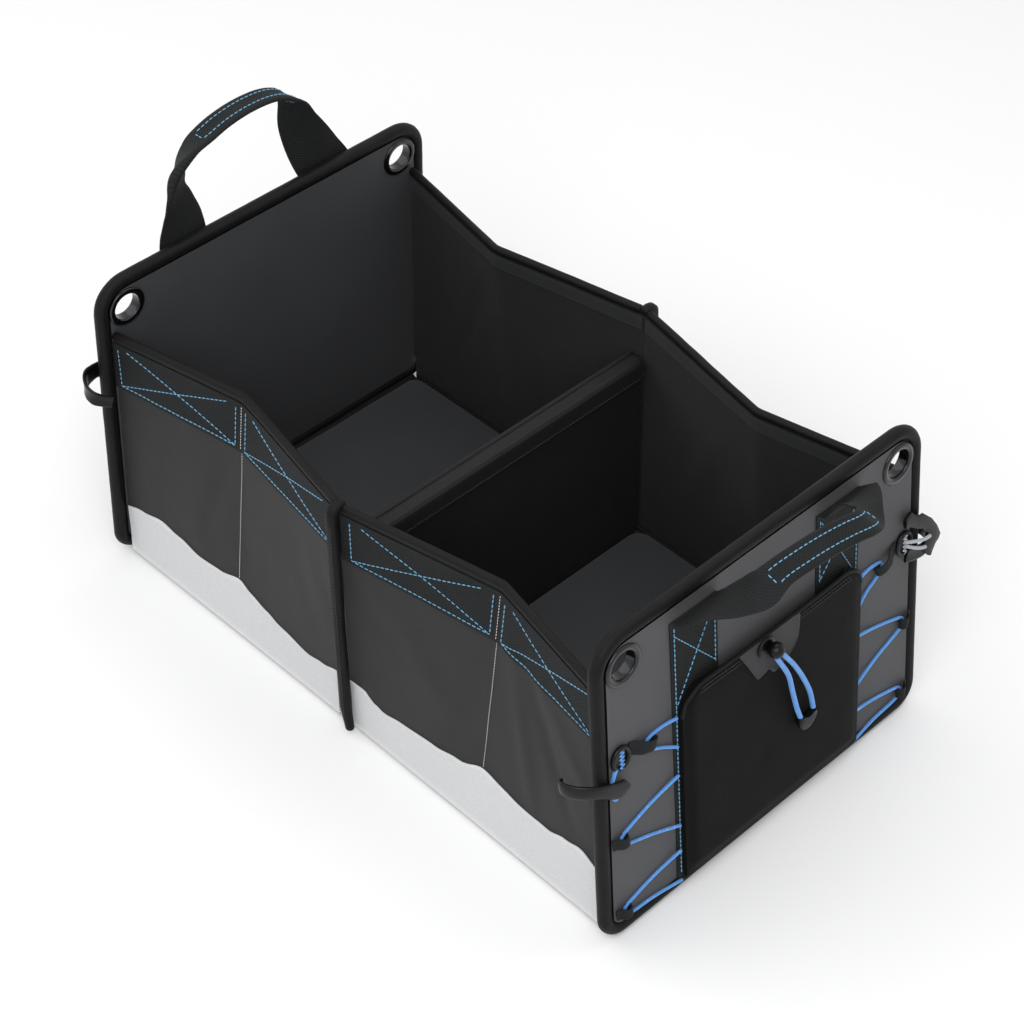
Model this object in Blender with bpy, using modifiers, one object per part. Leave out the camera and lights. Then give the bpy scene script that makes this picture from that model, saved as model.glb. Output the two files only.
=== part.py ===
"""Collapsible fabric storage box for a car boot, in metres with +Z up.

+X is the front end panel with the pouch, -X the back end panel, -Y the near long wall.
The origin is on the plane that the box rests on, at the middle of its length and width.
Pieces on an end panel are placed in that panel's own frame: x outward, y across, z up it.
"""
import math

import bmesh
import bpy
from mathutils import Vector

# Clearances
GAP = 0.0003
SKIN_GAP = 0.0005

# End panels, bound all round with a thick piping
HALF_LENGTH = 0.3179
PANEL_H = 0.320
PANEL_HALF_W_BOTTOM = 0.1967
PANEL_HALF_W_TOP = 0.1900
PANEL_T = 0.008
PANEL_TOP_R = 0.034
PANEL_BOTTOM_R = 0.025
BINDING_R = 0.0065
LEAN = {"front": math.radians(4.97), "back": math.radians(2.78)}

# Grommets near the panels' top corners
GROMMET_IN = 0.0315
GROMMET_DOWN = 0.034
GROMMET_HOLE_R = 0.0130
GROMMET_FLANGE_R = 0.0190
GROMMET_BARREL_T = 0.0012
GROMMET_FLANGE_T = 0.0016

# Long walls, each half folded inwards at a crease
WALL_HALF_W = 0.180
WALL_BELOW_PANEL = 0.063
WALL_H = PANEL_H - WALL_BELOW_PANEL
WALL_T = 0.003
WALL_SEAM = 0.002
CREASE_X = 0.158
CREASE_IN = 0.030
WALL_ROWS = 9
FOLD_STEPS = 4
CORNER_STEP = 0.003
TOP_BINDING_R = 0.004
TOP_WEBBING_H = 0.050
TOP_WEBBING_T = 0.0015
TOP_WEBBING_DOWN = 0.002
BAND_T = 0.0010
BAND_LOW = 0.002
BAND_H = 0.070
BAND_CREASE_H = 0.082
RIB_R = 0.0055

# Floor and divider
BOTTOM_T = 0.003
BOARD_T = 0.004
BOARD_CLEARANCE = 0.004
BOARD_CORNER_R = 0.015
DIVIDER_T = 0.012
DIVIDER_H = 0.216
HEM_H = 0.022
HEM_T = 0.018
DIVIDER_SIDE_CLEARANCE = 0.0005
DIVIDER_TO_BOARD = 0.0015

# Handles and the webbing strips they are sewn to
WEBBING_W = 0.052
WEBBING_T = 0.0020
STRIP_Y = 0.084
HANDLE_HINGE_DOWN = 0.026
HANDLE_HINGE_Z = PANEL_H - HANDLE_HINGE_DOWN
GRIP_W = 0.026
GRIP_T = 0.0045
HANDLE_RISE = 0.119

# Pouch on the front panel
POUCH_HALF_W = 0.109
POUCH_TOP = 0.222
POUCH_CORNER_R = 0.025
POUCH_DEPTH = 0.008
POUCH_SKIN = 0.0018
POUCH_ABOVE_PIPING = 0.0015
PATCH_TOP_HALF_W = 0.034
PATCH_FOOT_HALF_W = 0.016
PATCH_H = 0.050
PATCH_T = 0.0012
BALL_R = 0.009
BALL_Y = -0.012
BALL_Z = 0.213
CORD_R = 0.0022
CORD_END_HALF_W = 0.011
CORD_END_H = 0.017
CORD_END_T = 0.007
CORD_END_NOTCH_W = 0.006
CORD_END_NOTCH_H = 0.005

# Lacing beside the pouch
TAB_L = 0.0075
TAB_H = 0.012
TAB_T = 0.0035
FIRST_TAB_L = 0.015
TAB_LEVELS = (0.1935, 0.1065, 0.0255)
LACE_FILLET = 0.004

# Tie-down hooks over the panels' side piping, each with an oval ring on the panel
HOOK_Z = 0.176
RAISED_HOOK_Z = 0.221
HOOK_W = 0.012
HOOK_T = 0.003
HOOK_RING_Z = 0.197
HOOK_RING_HALF_W = 0.0085
HOOK_RING_HALF_H = 0.0105
HOOK_RING_R = 0.0022

# Places that follow from the sizes above
PANEL_FACE = PANEL_T / 2
STRIP_IN = PANEL_FACE + GAP
STRIP_OUT = STRIP_IN + WEBBING_T
HANDLE_HINGE_X = BINDING_R + GAP + WEBBING_T / 2
BINDING_W = 2 * BINDING_R
HOOK_CLEAR = BINDING_R + GAP + HOOK_T / 2
PANEL_FLOOR = BINDING_W + GAP
STRIP_OUTER_Y = STRIP_Y + WEBBING_W / 2
POUCH_IN = STRIP_OUT + GAP
POUCH_OUT = POUCH_IN + POUCH_DEPTH
POUCH_BOTTOM = PANEL_FLOOR + POUCH_ABOVE_PIPING
PATCH_OUT = POUCH_OUT + GAP + PATCH_T
BALL_X = PATCH_OUT + GAP + BALL_R
LACE_X = PANEL_FACE + GAP + CORD_R
LACE_INNER_Y = STRIP_OUTER_Y + GAP + CORD_R
BOTTOM_HALF_W = WALL_HALF_W - WALL_T - GAP - CREASE_IN * BOTTOM_T / WALL_H
FLOOR_TOP = BOTTOM_T + GAP

# The toggle's loop lies down the pouch, leaning to one side: two legs from under the ball to the
# cord end, as points out of the panel, across it and up it
LEG_NEAR = [
    (0.0245, -0.0103, 0.2033),
    (0.0240, -0.0080, 0.1985),
    (0.0228, 0.0055, 0.1725),
    (0.0205, 0.0136, 0.1470),
    (0.0190, 0.0207, 0.1227),
    (0.0185, 0.0265, 0.1058),
]
LEG_FAR = [
    (0.0245, -0.0052, 0.2060),
    (0.0240, -0.0010, 0.1990),
    (0.0228, 0.0125, 0.1785),
    (0.0205, 0.0265, 0.1530),
    (0.0190, 0.0368, 0.1295),
    (0.0185, 0.0419, 0.1080),
]


def clear_scene():
    for obj in list(bpy.data.objects):
        bpy.data.objects.remove(obj, do_unlink=True)


def srgb(*levels):
    """Scene-linear colour from three 0 to 255 display levels."""
    linear = []
    for level in levels:
        c = level / 255
        linear.append(c / 12.92 if c <= 0.04045 else ((c + 0.055) / 1.055) ** 2.4)
    return (*linear, 1.0)


def material(name, color, roughness, metallic=0.0):
    mat = bpy.data.materials.new(name)
    mat.use_nodes = True
    shader = mat.node_tree.nodes["Principled BSDF"]
    shader.inputs["Base Color"].default_value = color
    shader.inputs["Roughness"].default_value = roughness
    shader.inputs["Metallic"].default_value = metallic
    return mat


def make_materials():
    return {
        "panel_fabric": material("panel_fabric", srgb(84, 85, 88), 0.85),
        "wall_fabric": material("wall_fabric", srgb(48, 49, 51), 0.85),
        "silver_fabric": material("silver_fabric", srgb(205, 206, 208), 0.55),
        "binding": material("binding", srgb(22, 22, 24), 0.75),
        "webbing": material("webbing", srgb(33, 34, 37), 0.80),
        "board_fabric": material("board_fabric", srgb(62, 63, 65), 0.85),
        "divider_fabric": material("divider_fabric", srgb(20, 20, 21), 0.90),
        "pouch_fabric": material("pouch_fabric", srgb(26, 26, 28), 0.80),
        "patch": material("patch", srgb(98, 99, 102), 0.80),
        "eyelet": material("eyelet", srgb(30, 31, 33), 0.30, 0.9),
        "plastic": material("plastic", srgb(18, 18, 19), 0.35),
        "elastic": material("elastic", srgb(72, 142, 232), 0.60),
    }


class Builder:
    """Holds the collections, the materials and the two panel frames."""

    def __init__(self):
        self.parts = bpy.data.collections.new("car_storage_box")
        self.cutters = bpy.data.collections.new("cutters")
        bpy.context.scene.collection.children.link(self.parts)
        bpy.context.scene.collection.children.link(self.cutters)
        self.mats = make_materials()
        self.frames = {"front": self.panel_frame("front", 1), "back": self.panel_frame("back", -1)}

    def panel_frame(self, end, sign):
        """An empty at a panel's foot: local x points outward and local z up the leaning panel."""
        frame = bpy.data.objects.new(end + "_panel_frame", None)
        frame.location = (sign * HALF_LENGTH, 0, 0)
        frame.rotation_euler = (0, -LEAN[end], 0 if sign > 0 else math.pi)
        self.parts.objects.link(frame)
        return frame

    def add(self, name, data, slot, end=None, location=(0, 0, 0), rotation=(0, 0, 0)):
        obj = bpy.data.objects.new(name, data)
        data.materials.clear()
        data.materials.append(self.mats[slot])
        obj.location = location
        obj.rotation_euler = rotation
        if end:
            obj.parent = self.frames[end]
        self.parts.objects.link(obj)
        return obj


def closed_mesh(name, verts, faces, smooth=False):
    mesh = bpy.data.meshes.new(name)
    mesh.from_pydata([tuple(v) for v in verts], [], faces)
    bm = bmesh.new()
    bm.from_mesh(mesh)
    bmesh.ops.remove_doubles(bm, verts=bm.verts, dist=1e-7)
    bmesh.ops.recalc_face_normals(bm, faces=bm.faces)
    bm.to_mesh(mesh)
    bm.free()
    for face in mesh.polygons:
        face.use_smooth = smooth
    return mesh


def slab_mesh(name, inner, outer):
    """A closed sheet between two grids of points, row by row."""
    rows, cols = len(inner), len(inner[0])
    verts = [p for row in inner for p in row] + [p for row in outer for p in row]
    count = rows * cols
    faces = []
    for r in range(rows - 1):
        for c in range(cols - 1):
            a = r * cols + c
            quad = (a, a + 1, a + cols + 1, a + cols)
            faces.append(quad)
            faces.append(tuple(i + count for i in reversed(quad)))
    rim = [c for c in range(cols)]
    rim += [r * cols + cols - 1 for r in range(1, rows)]
    rim += [(rows - 1) * cols + c for c in range(cols - 2, -1, -1)]
    rim += [r * cols for r in range(rows - 2, 0, -1)]
    for i, a in enumerate(rim):
        b = rim[(i + 1) % len(rim)]
        faces.append((a, b, b + count, a + count))
    return closed_mesh(name, verts, faces)


def outline_curve(name, loops, thickness):
    """A flat plate: a filled 2D curve of one outer loop and any holes, thick along local z."""
    curve = bpy.data.curves.new(name, "CURVE")
    curve.dimensions = "2D"
    curve.fill_mode = "BOTH"
    curve.extrude = thickness / 2
    for loop in loops:
        spline = curve.splines.new("POLY")
        spline.points.add(len(loop) - 1)
        spline.use_cyclic_u = True
        for point, (x, y) in zip(spline.points, loop):
            point.co = (x, y, 0, 1)
    return curve


def tube_curve(name, points, radius, closed=False, resolution=2):
    """A round tube along a list of points, with flat closed ends."""
    curve = bpy.data.curves.new(name, "CURVE")
    curve.dimensions = "3D"
    curve.bevel_depth = radius
    curve.bevel_resolution = resolution
    curve.use_fill_caps = not closed
    spline = curve.splines.new("POLY")
    spline.points.add(len(points) - 1)
    spline.use_cyclic_u = closed
    for point, co in zip(spline.points, points):
        point.co = (*co, 1)
    spline.use_smooth = True
    return curve


def mesh_of(name, curve):
    """The mesh of a curve, with its loose caps welded."""
    source = bpy.data.objects.new(name + "_source", curve)
    bpy.context.scene.collection.objects.link(source)
    graph = bpy.context.evaluated_depsgraph_get()
    mesh = bpy.data.meshes.new_from_object(source.evaluated_get(graph))
    bpy.data.objects.remove(source, do_unlink=True)
    bm = bmesh.new()
    bm.from_mesh(mesh)
    bmesh.ops.remove_doubles(bm, verts=bm.verts, dist=1e-6)
    bm.to_mesh(mesh)
    bm.free()
    mesh.name = name
    return mesh


def fillet_path(points, radius, steps=4):
    """The same path with each corner rounded by a short quadratic bend."""
    points = [Vector(p) for p in points]
    path = [points[0]]
    for before, corner, after in zip(points, points[1:], points[2:]):
        reach = min(radius, (corner - before).length / 2.2, (after - corner).length / 2.2)
        start = corner + (before - corner).normalized() * reach
        end = corner + (after - corner).normalized() * reach
        for i in range(steps + 1):
            t = i / steps
            path.append(start * (1 - t) ** 2 + corner * 2 * t * (1 - t) + end * t * t)
    path.append(points[-1])
    return path


def rounded_outline(corners, radii, steps=6):
    """A convex outline with each corner rounded to its own radius, anticlockwise."""
    outline = []
    count = len(corners)
    for i, radius in enumerate(radii):
        corner = Vector(corners[i])
        before = (Vector(corners[i - 1]) - corner).normalized()
        after = (Vector(corners[(i + 1) % count]) - corner).normalized()
        if radius <= 0:
            outline.append(tuple(corner))
            continue
        half = before.angle(after) / 2
        centre = corner + (before + after).normalized() * radius / math.sin(half)
        first = corner + before * radius / math.tan(half) - centre
        turn = math.pi - 2 * half
        for k in range(steps + 1):
            a = turn * k / steps
            x = first.x * math.cos(a) - first.y * math.sin(a)
            y = first.x * math.sin(a) + first.y * math.cos(a)
            outline.append((centre.x + x, centre.y + y))
    return outline


def panel_half_w(z):
    return PANEL_HALF_W_BOTTOM + (PANEL_HALF_W_TOP - PANEL_HALF_W_BOTTOM) * z / PANEL_H


def edge_y(z):
    """Inner edge of a panel's side piping at a height."""
    return panel_half_w(z) - BINDING_W


def panel_outline(inset):
    """The end panel's outline, moved in from its outer edge."""
    low, high = inset, PANEL_H - inset
    corners = [
        (-panel_half_w(low) + inset, low),
        (panel_half_w(low) - inset, low),
        (panel_half_w(high) - inset, high),
        (-panel_half_w(high) + inset, high),
    ]
    bottom, top = PANEL_BOTTOM_R - inset, PANEL_TOP_R - inset
    return rounded_outline(corners, [bottom, bottom, top, top])


def circle(cx, cy, radius, count=24):
    return [
        (cx + radius * math.cos(math.tau * i / count), cy + radius * math.sin(math.tau * i / count))
        for i in range(count)
    ]


def grommet_places():
    z = PANEL_H - GROMMET_DOWN
    y = panel_half_w(z) - GROMMET_IN
    return {"near": (-y, z), "far": (y, z)}


# Turns a plate drawn in x and y into one standing in a panel's frame, its thickness along x
STANDING = (math.pi / 2, 0, math.pi / 2)


def side_sign(end, side):
    """Which way along a panel frame's y a side lies: the back frame is turned half round."""
    near_or_far = -1 if side == "near" else 1
    return near_or_far if end == "front" else -near_or_far


def build_panels(b):
    hole_r = GROMMET_HOLE_R + GROMMET_BARREL_T + GAP
    for end in ("front", "back"):
        holes = [circle(y, z, hole_r) for y, z in grommet_places().values()]
        plate = outline_curve(end + "_panel", [panel_outline(BINDING_W + GAP)] + holes, PANEL_T)
        b.add(end + "_panel", plate, "panel_fabric", end, rotation=STANDING)
        loop = [(0, y, z) for y, z in panel_outline(BINDING_R)]
        piping = tube_curve(end + "_panel_binding", loop, BINDING_R, closed=True)
        b.add(end + "_panel_binding", piping, "binding", end)
        build_grommets(b, end)


def build_grommets(b, end):
    """Rolled eyelets that clamp the panel from both faces."""
    inner = PANEL_FACE + GAP
    outer = inner + GROMMET_FLANGE_T
    barrel = GROMMET_HOLE_R + GROMMET_BARREL_T
    soft = GROMMET_FLANGE_T / 2
    half = [
        (GROMMET_HOLE_R + soft, outer),
        (GROMMET_FLANGE_R - soft, outer),
        (GROMMET_FLANGE_R, outer - soft),
        (GROMMET_FLANGE_R, inner),
        (barrel, inner),
    ]
    profile = half + [(r, -z) for r, z in reversed(half)]
    profile += [(GROMMET_HOLE_R, -outer + soft), (GROMMET_HOLE_R, outer - soft)]
    mesh = bpy.data.meshes.new(end + "_grommet")
    edges = [(i, (i + 1) % len(profile)) for i in range(len(profile))]
    mesh.from_pydata([(r, 0, z) for r, z in profile], edges, [])
    for side, (y, z) in grommet_places().items():
        name = f"{end}_{side}_grommet"
        y = side_sign(end, side) * abs(y)
        ring = b.add(name, mesh, "eyelet", end, (0, y, z), (0, math.pi / 2, 0))
        screw = ring.modifiers.new("turn", "SCREW")
        screw.steps = screw.render_steps = 20
        screw.use_merge_vertices = True
        screw.merge_threshold = 1e-5
        screw.use_smooth_shade = True


def panel_plane_x(end, z, standoff):
    """Distance from the middle to a plane inside an end panel, at a height."""
    return HALF_LENGTH - z * math.tan(LEAN[end]) - standoff / math.cos(LEAN[end])


def wall_end_x(end, z):
    """Where a wall stops: at the piping below the panel's round corner, at the panel above it."""
    standoff = BINDING_R + GAP if z <= PANEL_BOTTOM_R else PANEL_FACE + GAP
    return panel_plane_x(end, z, standoff)


def wall_outer_y(end, x, z):
    """Half width of the box at the outside of a wall: it narrows upwards at the crease."""
    stop = wall_end_x(end, z)
    end_y = edge_y(z) - WALL_SEAM
    along = x / stop
    fold = x / CREASE_X if x < CREASE_X else (stop - x) / (stop - CREASE_X)
    straight = WALL_HALF_W + (end_y - WALL_HALF_W) * along
    return straight - CREASE_IN * fold * z / WALL_H


def fold_stations(end, z, start):
    """Distances from the middle along a half wall, with one on the crease."""
    stop = wall_end_x(end, z)
    inner = [start + (CREASE_X - start) * i / FOLD_STEPS for i in range(FOLD_STEPS)]
    outer = [CREASE_X + (stop - CREASE_X) * i / FOLD_STEPS for i in range(FOLD_STEPS + 1)]
    return inner + outer


def skin_rows(side, end, levels, start, depths):
    """Two grids of points on a half wall, at two depths out from its outer face."""
    y_sign = -1 if side == "near" else 1
    x_sign = 1 if end == "front" else -1
    return [
        [
            [
                (x_sign * x, y_sign * (wall_outer_y(end, x, z) + depth), z)
                for x in fold_stations(end, z, start)
            ]
            for z in levels
        ]
        for depth in depths
    ]


def wall_levels():
    """Heights of a wall's rows of points: two of them where it clears the panel's round corner."""
    start = PANEL_BOTTOM_R + CORNER_STEP
    step = (WALL_H - start) / (WALL_ROWS - 1)
    return [0.0, PANEL_BOTTOM_R] + [start + step * i for i in range(WALL_ROWS)]


def build_walls(b):
    for side in ("near", "far"):
        for end, word in (("back", "rear"), ("front", "front")):
            inner, outer = skin_rows(side, end, wall_levels(), GAP / 2, (-WALL_T, 0.0))
            name = f"{side}_{word}_wall"
            b.add(name, slab_mesh(name, inner, outer), "wall_fabric")
            build_top_webbing(b, side, end, word)
            build_top_binding(b, side, end, word)
        build_lower_band(b, side)
        build_rib(b, side)


def build_top_webbing(b, side, end, word):
    """A wide webbing sewn flat along the top of a half wall, outside."""
    top = WALL_H - TOP_WEBBING_DOWN
    levels = [top - TOP_WEBBING_H * part for part in (1, 0.5, 0)]
    depths = (SKIN_GAP, SKIN_GAP + TOP_WEBBING_T)
    inner, outer = skin_rows(side, end, levels, GAP, depths)
    name = f"{side}_{word}_top_webbing"
    b.add(name, slab_mesh(name, inner, outer), "webbing")


def build_top_binding(b, side, end, word):
    """Piping that runs along the top edge of a half wall and turns at the crease."""
    z = WALL_H + GAP + TOP_BINDING_R
    x_sign = 1 if end == "front" else -1
    y_sign = -1 if side == "near" else 1
    stop = wall_end_x(end, z + TOP_BINDING_R) - 2 * GAP
    path = []
    for x in (RIB_R + 2 * GAP, CREASE_X, stop):
        y = wall_outer_y(end, x, WALL_H) - WALL_T / 2
        path.append((x_sign * x, y_sign * y, z))
    name = f"{side}_{word}_top_binding"
    curve = tube_curve(name, fillet_path(path, 0.012), TOP_BINDING_R)
    b.add(name, curve, "binding")


def band_top(x):
    """The light band's top edge rises to a peak at the crease."""
    run = CREASE_X if x < CREASE_X else HALF_LENGTH - CREASE_X
    away = abs(x - CREASE_X) / run
    return BAND_CREASE_H + (BAND_H - BAND_CREASE_H) * min(1.0, away)


def band_row(side, depth, height):
    """One row of the band's points, from the back panel to the front; height gives z at each x."""
    y_sign = -1 if side == "near" else 1
    rows = {}
    for end, x_sign in (("back", -1), ("front", 1)):
        rows[end] = []
        for x in fold_stations(end, height(HALF_LENGTH), 0.0):
            z = height(x)
            y = wall_outer_y(end, min(x, wall_end_x(end, z)), z) + depth
            rows[end].append((x_sign * x, y_sign * y, z))
    return rows["back"][:0:-1] + rows["front"]


def build_lower_band(b, side):
    """The light reflective band round the foot of a long wall, in one length."""
    shoulder = PANEL_BOTTOM_R + CORNER_STEP
    heights = [
        lambda x: BAND_LOW,
        lambda x: PANEL_BOTTOM_R,
        lambda x: shoulder,
        lambda x: (shoulder + band_top(x)) / 2,
        band_top,
    ]
    inner, outer = [
        [band_row(side, depth, height) for height in heights]
        for depth in (SKIN_GAP, SKIN_GAP + BAND_T)
    ]
    name = side + "_lower_band"
    b.add(name, slab_mesh(name, inner, outer), "silver_fabric")


def build_rib(b, side):
    """The bound seam at the middle of a long wall, turned over the wall's top edge."""
    y_sign = -1 if side == "near" else 1
    out = WALL_HALF_W + SKIN_GAP + TOP_WEBBING_T + GAP + RIB_R
    top = WALL_H + GAP + RIB_R
    over = WALL_HALF_W - WALL_T + GAP
    path = [(0, y_sign * out, RIB_R), (0, y_sign * out, top), (0, y_sign * over, top)]
    curve = tube_curve(side + "_rib_binding", fillet_path(path, RIB_R, 5), RIB_R)
    b.add(side + "_rib_binding", curve, "binding")


def build_floor(b):
    back, front = (-panel_plane_x("back", 0, BINDING_R + GAP), panel_plane_x("front", 0, BINDING_R + GAP))
    lean_in = BOTTOM_T * math.tan(max(LEAN.values()))
    corners = [(back + lean_in, -BOTTOM_HALF_W), (front - lean_in, -BOTTOM_HALF_W)]
    corners += [(front - lean_in, BOTTOM_HALF_W), (back + lean_in, BOTTOM_HALF_W)]
    sheet = outline_curve("bottom_fabric", [corners], BOTTOM_T)
    b.add("bottom_fabric", sheet, "wall_fabric", location=(0, 0, BOTTOM_T / 2))
    for end, word in (("back", "rear"), ("front", "front")):
        build_board(b, end, word)


def build_board(b, end, word):
    """A stiff base board that lies loose on one side of the divider."""
    sign = 1 if end == "front" else -1
    top = FLOOR_TOP + BOARD_T
    low = DIVIDER_T / 2 + DIVIDER_TO_BOARD
    high = panel_plane_x(end, top, BINDING_R + BOARD_CLEARANCE)
    half_w = WALL_HALF_W - WALL_T - BOARD_CLEARANCE
    xs = sorted((sign * low, sign * high))
    corners = [(xs[0], -half_w), (xs[1], -half_w), (xs[1], half_w), (xs[0], half_w)]
    radii = [BOARD_CORNER_R] * 4
    name = "base_board_" + word
    plate = outline_curve(name, [rounded_outline(corners, radii)], BOARD_T)
    b.add(name, plate, "board_fabric", location=(0, 0, FLOOR_TOP + BOARD_T / 2))


def box_mesh(name, size):
    mesh = bpy.data.meshes.new(name)
    bm = bmesh.new()
    bmesh.ops.create_cube(bm, size=1.0)
    bmesh.ops.scale(bm, vec=size, verts=bm.verts)
    bm.to_mesh(mesh)
    bm.free()
    return mesh


def soften(obj, width, segments=2):
    bevel = obj.modifiers.new("soften", "BEVEL")
    bevel.width = width
    bevel.segments = segments
    bevel.limit_method = "ANGLE"


def build_divider(b):
    """A padded board across the middle, with a thicker hem folded over its top."""
    fold_in = CREASE_IN * HEM_T / 2 / CREASE_X
    half_w = WALL_HALF_W - WALL_T / 2 - TOP_BINDING_R - fold_in - DIVIDER_SIDE_CLEARANCE
    board_h = DIVIDER_H - HEM_H - GAP - FLOOR_TOP
    board = box_mesh("divider_board", (DIVIDER_T, 2 * half_w, board_h))
    obj = b.add("divider_board", board, "divider_fabric", location=(0, 0, FLOOR_TOP + board_h / 2))
    soften(obj, 0.002)
    hem = box_mesh("divider_top_hem", (HEM_T, 2 * half_w, HEM_H))
    obj = b.add("divider_top_hem", hem, "divider_fabric", location=(0, 0, DIVIDER_H - HEM_H / 2))
    soften(obj, HEM_T / 3, 3)


def smooth_step(values, t):
    """Catmull-Rom value between the two middle ones of four."""
    a, b, c, d = values
    return 0.5 * (
        2 * b + (c - a) * t + (2 * a - 5 * b + 4 * c - d) * t * t + (3 * b - a - 3 * c + d) * t ** 3
    )


def strap_mesh(name, stations, steps=3):
    """A webbing strap: stations hold its middle, the direction of its width, width, thickness."""
    padded = [stations[0]] + stations + [stations[-1]]
    rows = []
    for i in range(len(stations) - 1):
        four = padded[i:i + 4]
        for k in range(steps + (i == len(stations) - 2)):
            t = k / steps
            values = [smooth_step([Vector(s[j]) for s in four], t) for j in (0, 1)]
            sizes = [smooth_step([s[j] for s in four], t) for j in (2, 3)]
            rows.append((values[0], values[1].normalized(), *sizes))
    low, high = [], []
    for i, (middle, across, width, thickness) in enumerate(rows):
        ahead = rows[min(i + 1, len(rows) - 1)][0] - rows[max(i - 1, 0)][0]
        across = (across - ahead.normalized() * across.dot(ahead.normalized())).normalized()
        normal = ahead.cross(across).normalized()
        edge = [middle + across * width * (j / 4 - 0.5) for j in range(5)]
        low.append([p - normal * thickness / 2 for p in edge])
        high.append([p + normal * thickness / 2 for p in edge])
    return slab_mesh(name, low, high)


def handle_stations(shape):
    """Strap stations of a whole handle, foot to foot, from the shape of one half of it.

    The shape gives out, in from the foot and up as shares of the handle's rise, the direction
    of the width, and the width and thickness as shares of the webbing's or of the grip's.
    """
    half = []
    for (out, inward, up), across, sewn, width, thickness in shape:
        y = 0.0 if inward is None else -STRIP_Y + inward * HANDLE_RISE
        sizes = (GRIP_W, GRIP_T) if sewn else (WEBBING_W * width, WEBBING_T * thickness)
        half.append(((out * HANDLE_RISE, y, up * HANDLE_RISE), across, *sizes))
    back = [((p[0], -p[1], p[2]), (w[0], -w[1], w[2]), *rest) for p, w, *rest in half[-2::-1]]
    return half + back


def upright_handle():
    """The raised handle: feet on the strips, legs that turn edge on, and a folded grip."""
    return handle_stations([
        ((0.000, 0.000, 0.000), (0, 1, 0), False, 1, 1),
        ((0.000, 0.000, 0.134), (0, 1, 0), False, 1, 1),
        ((0.008, 0.017, 0.336), (0.1, 1, 0), False, 1, 1),
        ((0.034, 0.059, 0.571), (0.5, 0.85, 0), False, 0.95, 1),
        ((0.059, 0.143, 0.782), (0.9, 0.4, 0), False, 0.75, 1.4),
        ((0.067, 0.277, 0.920), (1, 0.1, 0), True, 1, 1),
        ((0.067, 0.437, 0.979), (1, 0, 0), True, 1, 1),
        ((0.067, None, 1.000), (1, 0, 0), True, 1, 1),
    ])


def slumped_handle():
    """The same handle let go: its legs bow outwards and the grip lies out in front."""
    return handle_stations([
        ((0.000, 0.000, 0.000), (0, 1, 0), False, 1, 1),
        ((0.118, 0.000, 0.008), (0, 1, 0), False, 1, 1),
        ((0.303, 0.017, 0.008), (0, 1, 0), False, 1, 1),
        ((0.471, 0.050, 0.092), (0.1, 1, 0.1), False, 0.95, 1),
        ((0.538, 0.126, 0.244), (0.5, 0.8, 0.2), False, 0.8, 1.4),
        ((0.454, 0.261, 0.370), (0.93, 0.3, -0.2), True, 1, 1),
        ((0.412, 0.437, 0.403), (0.93, 0, -0.35), True, 1, 1),
        ((0.403, None, 0.412), (0.93, 0, -0.35), True, 1, 1),
    ])


def build_handles(b):
    shapes = {"front": slumped_handle(), "back": upright_handle()}
    for end, stations in shapes.items():
        name = end + "_handle"
        hinge = (HANDLE_HINGE_X, 0, HANDLE_HINGE_Z)
        b.add(name, strap_mesh(name, stations), "webbing", end, hinge)
        for side in ("near", "far"):
            build_strip(b, end, side)


def build_strip(b, end, side):
    """A webbing strip down a panel's outer face, under a handle's foot."""
    bottom = PANEL_FLOOR + GAP
    y = side_sign(end, side) * STRIP_Y
    low, high = y - WEBBING_W / 2, y + WEBBING_W / 2
    corners = [(low, bottom), (high, bottom), (high, HANDLE_HINGE_Z), (low, HANDLE_HINGE_Z)]
    name = f"{end}_{side}_strip"
    place = ((STRIP_IN + STRIP_OUT) / 2, 0, 0)
    b.add(name, outline_curve(name, [corners], WEBBING_T), "webbing", end, place, STANDING)


def build_pouch(b):
    """A flat pocket: a thin face with a rim at its sides and foot, open at the top and back."""
    half, top, bottom = POUCH_HALF_W, POUCH_TOP, POUCH_BOTTOM
    corners = [(-half, bottom), (half, bottom), (half, top), (-half, top)]
    radii = [0, 0, POUCH_CORNER_R, POUCH_CORNER_R]
    body = mesh_of("pouch", outline_curve("pouch_body", [rounded_outline(corners, radii)], POUCH_DEPTH))
    place = ((POUCH_IN + POUCH_OUT) / 2, 0, 0)
    pouch = b.add("pouch", body, "pouch_fabric", "front", place, STANDING)
    half -= POUCH_SKIN
    bottom += POUCH_SKIN
    over = POUCH_CORNER_R
    corners = [(-half, bottom), (half, bottom), (half, top + over), (-half, top + over)]
    hollow = mesh_of("pouch_hollow", outline_curve("hollow", [corners], POUCH_DEPTH))
    cutter = bpy.data.objects.new("pouch_hollow", hollow)
    cutter.parent = b.frames["front"]
    cutter.location = (place[0] - POUCH_SKIN, 0, 0)
    cutter.rotation_euler = STANDING
    cutter.hide_render = True
    cutter.display_type = "WIRE"
    b.cutters.objects.link(cutter)
    cut = pouch.modifiers.new("hollow", "BOOLEAN")
    cut.operation = "DIFFERENCE"
    cut.solver = "EXACT"
    cut.object = cutter
    build_closure(b)


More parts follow.
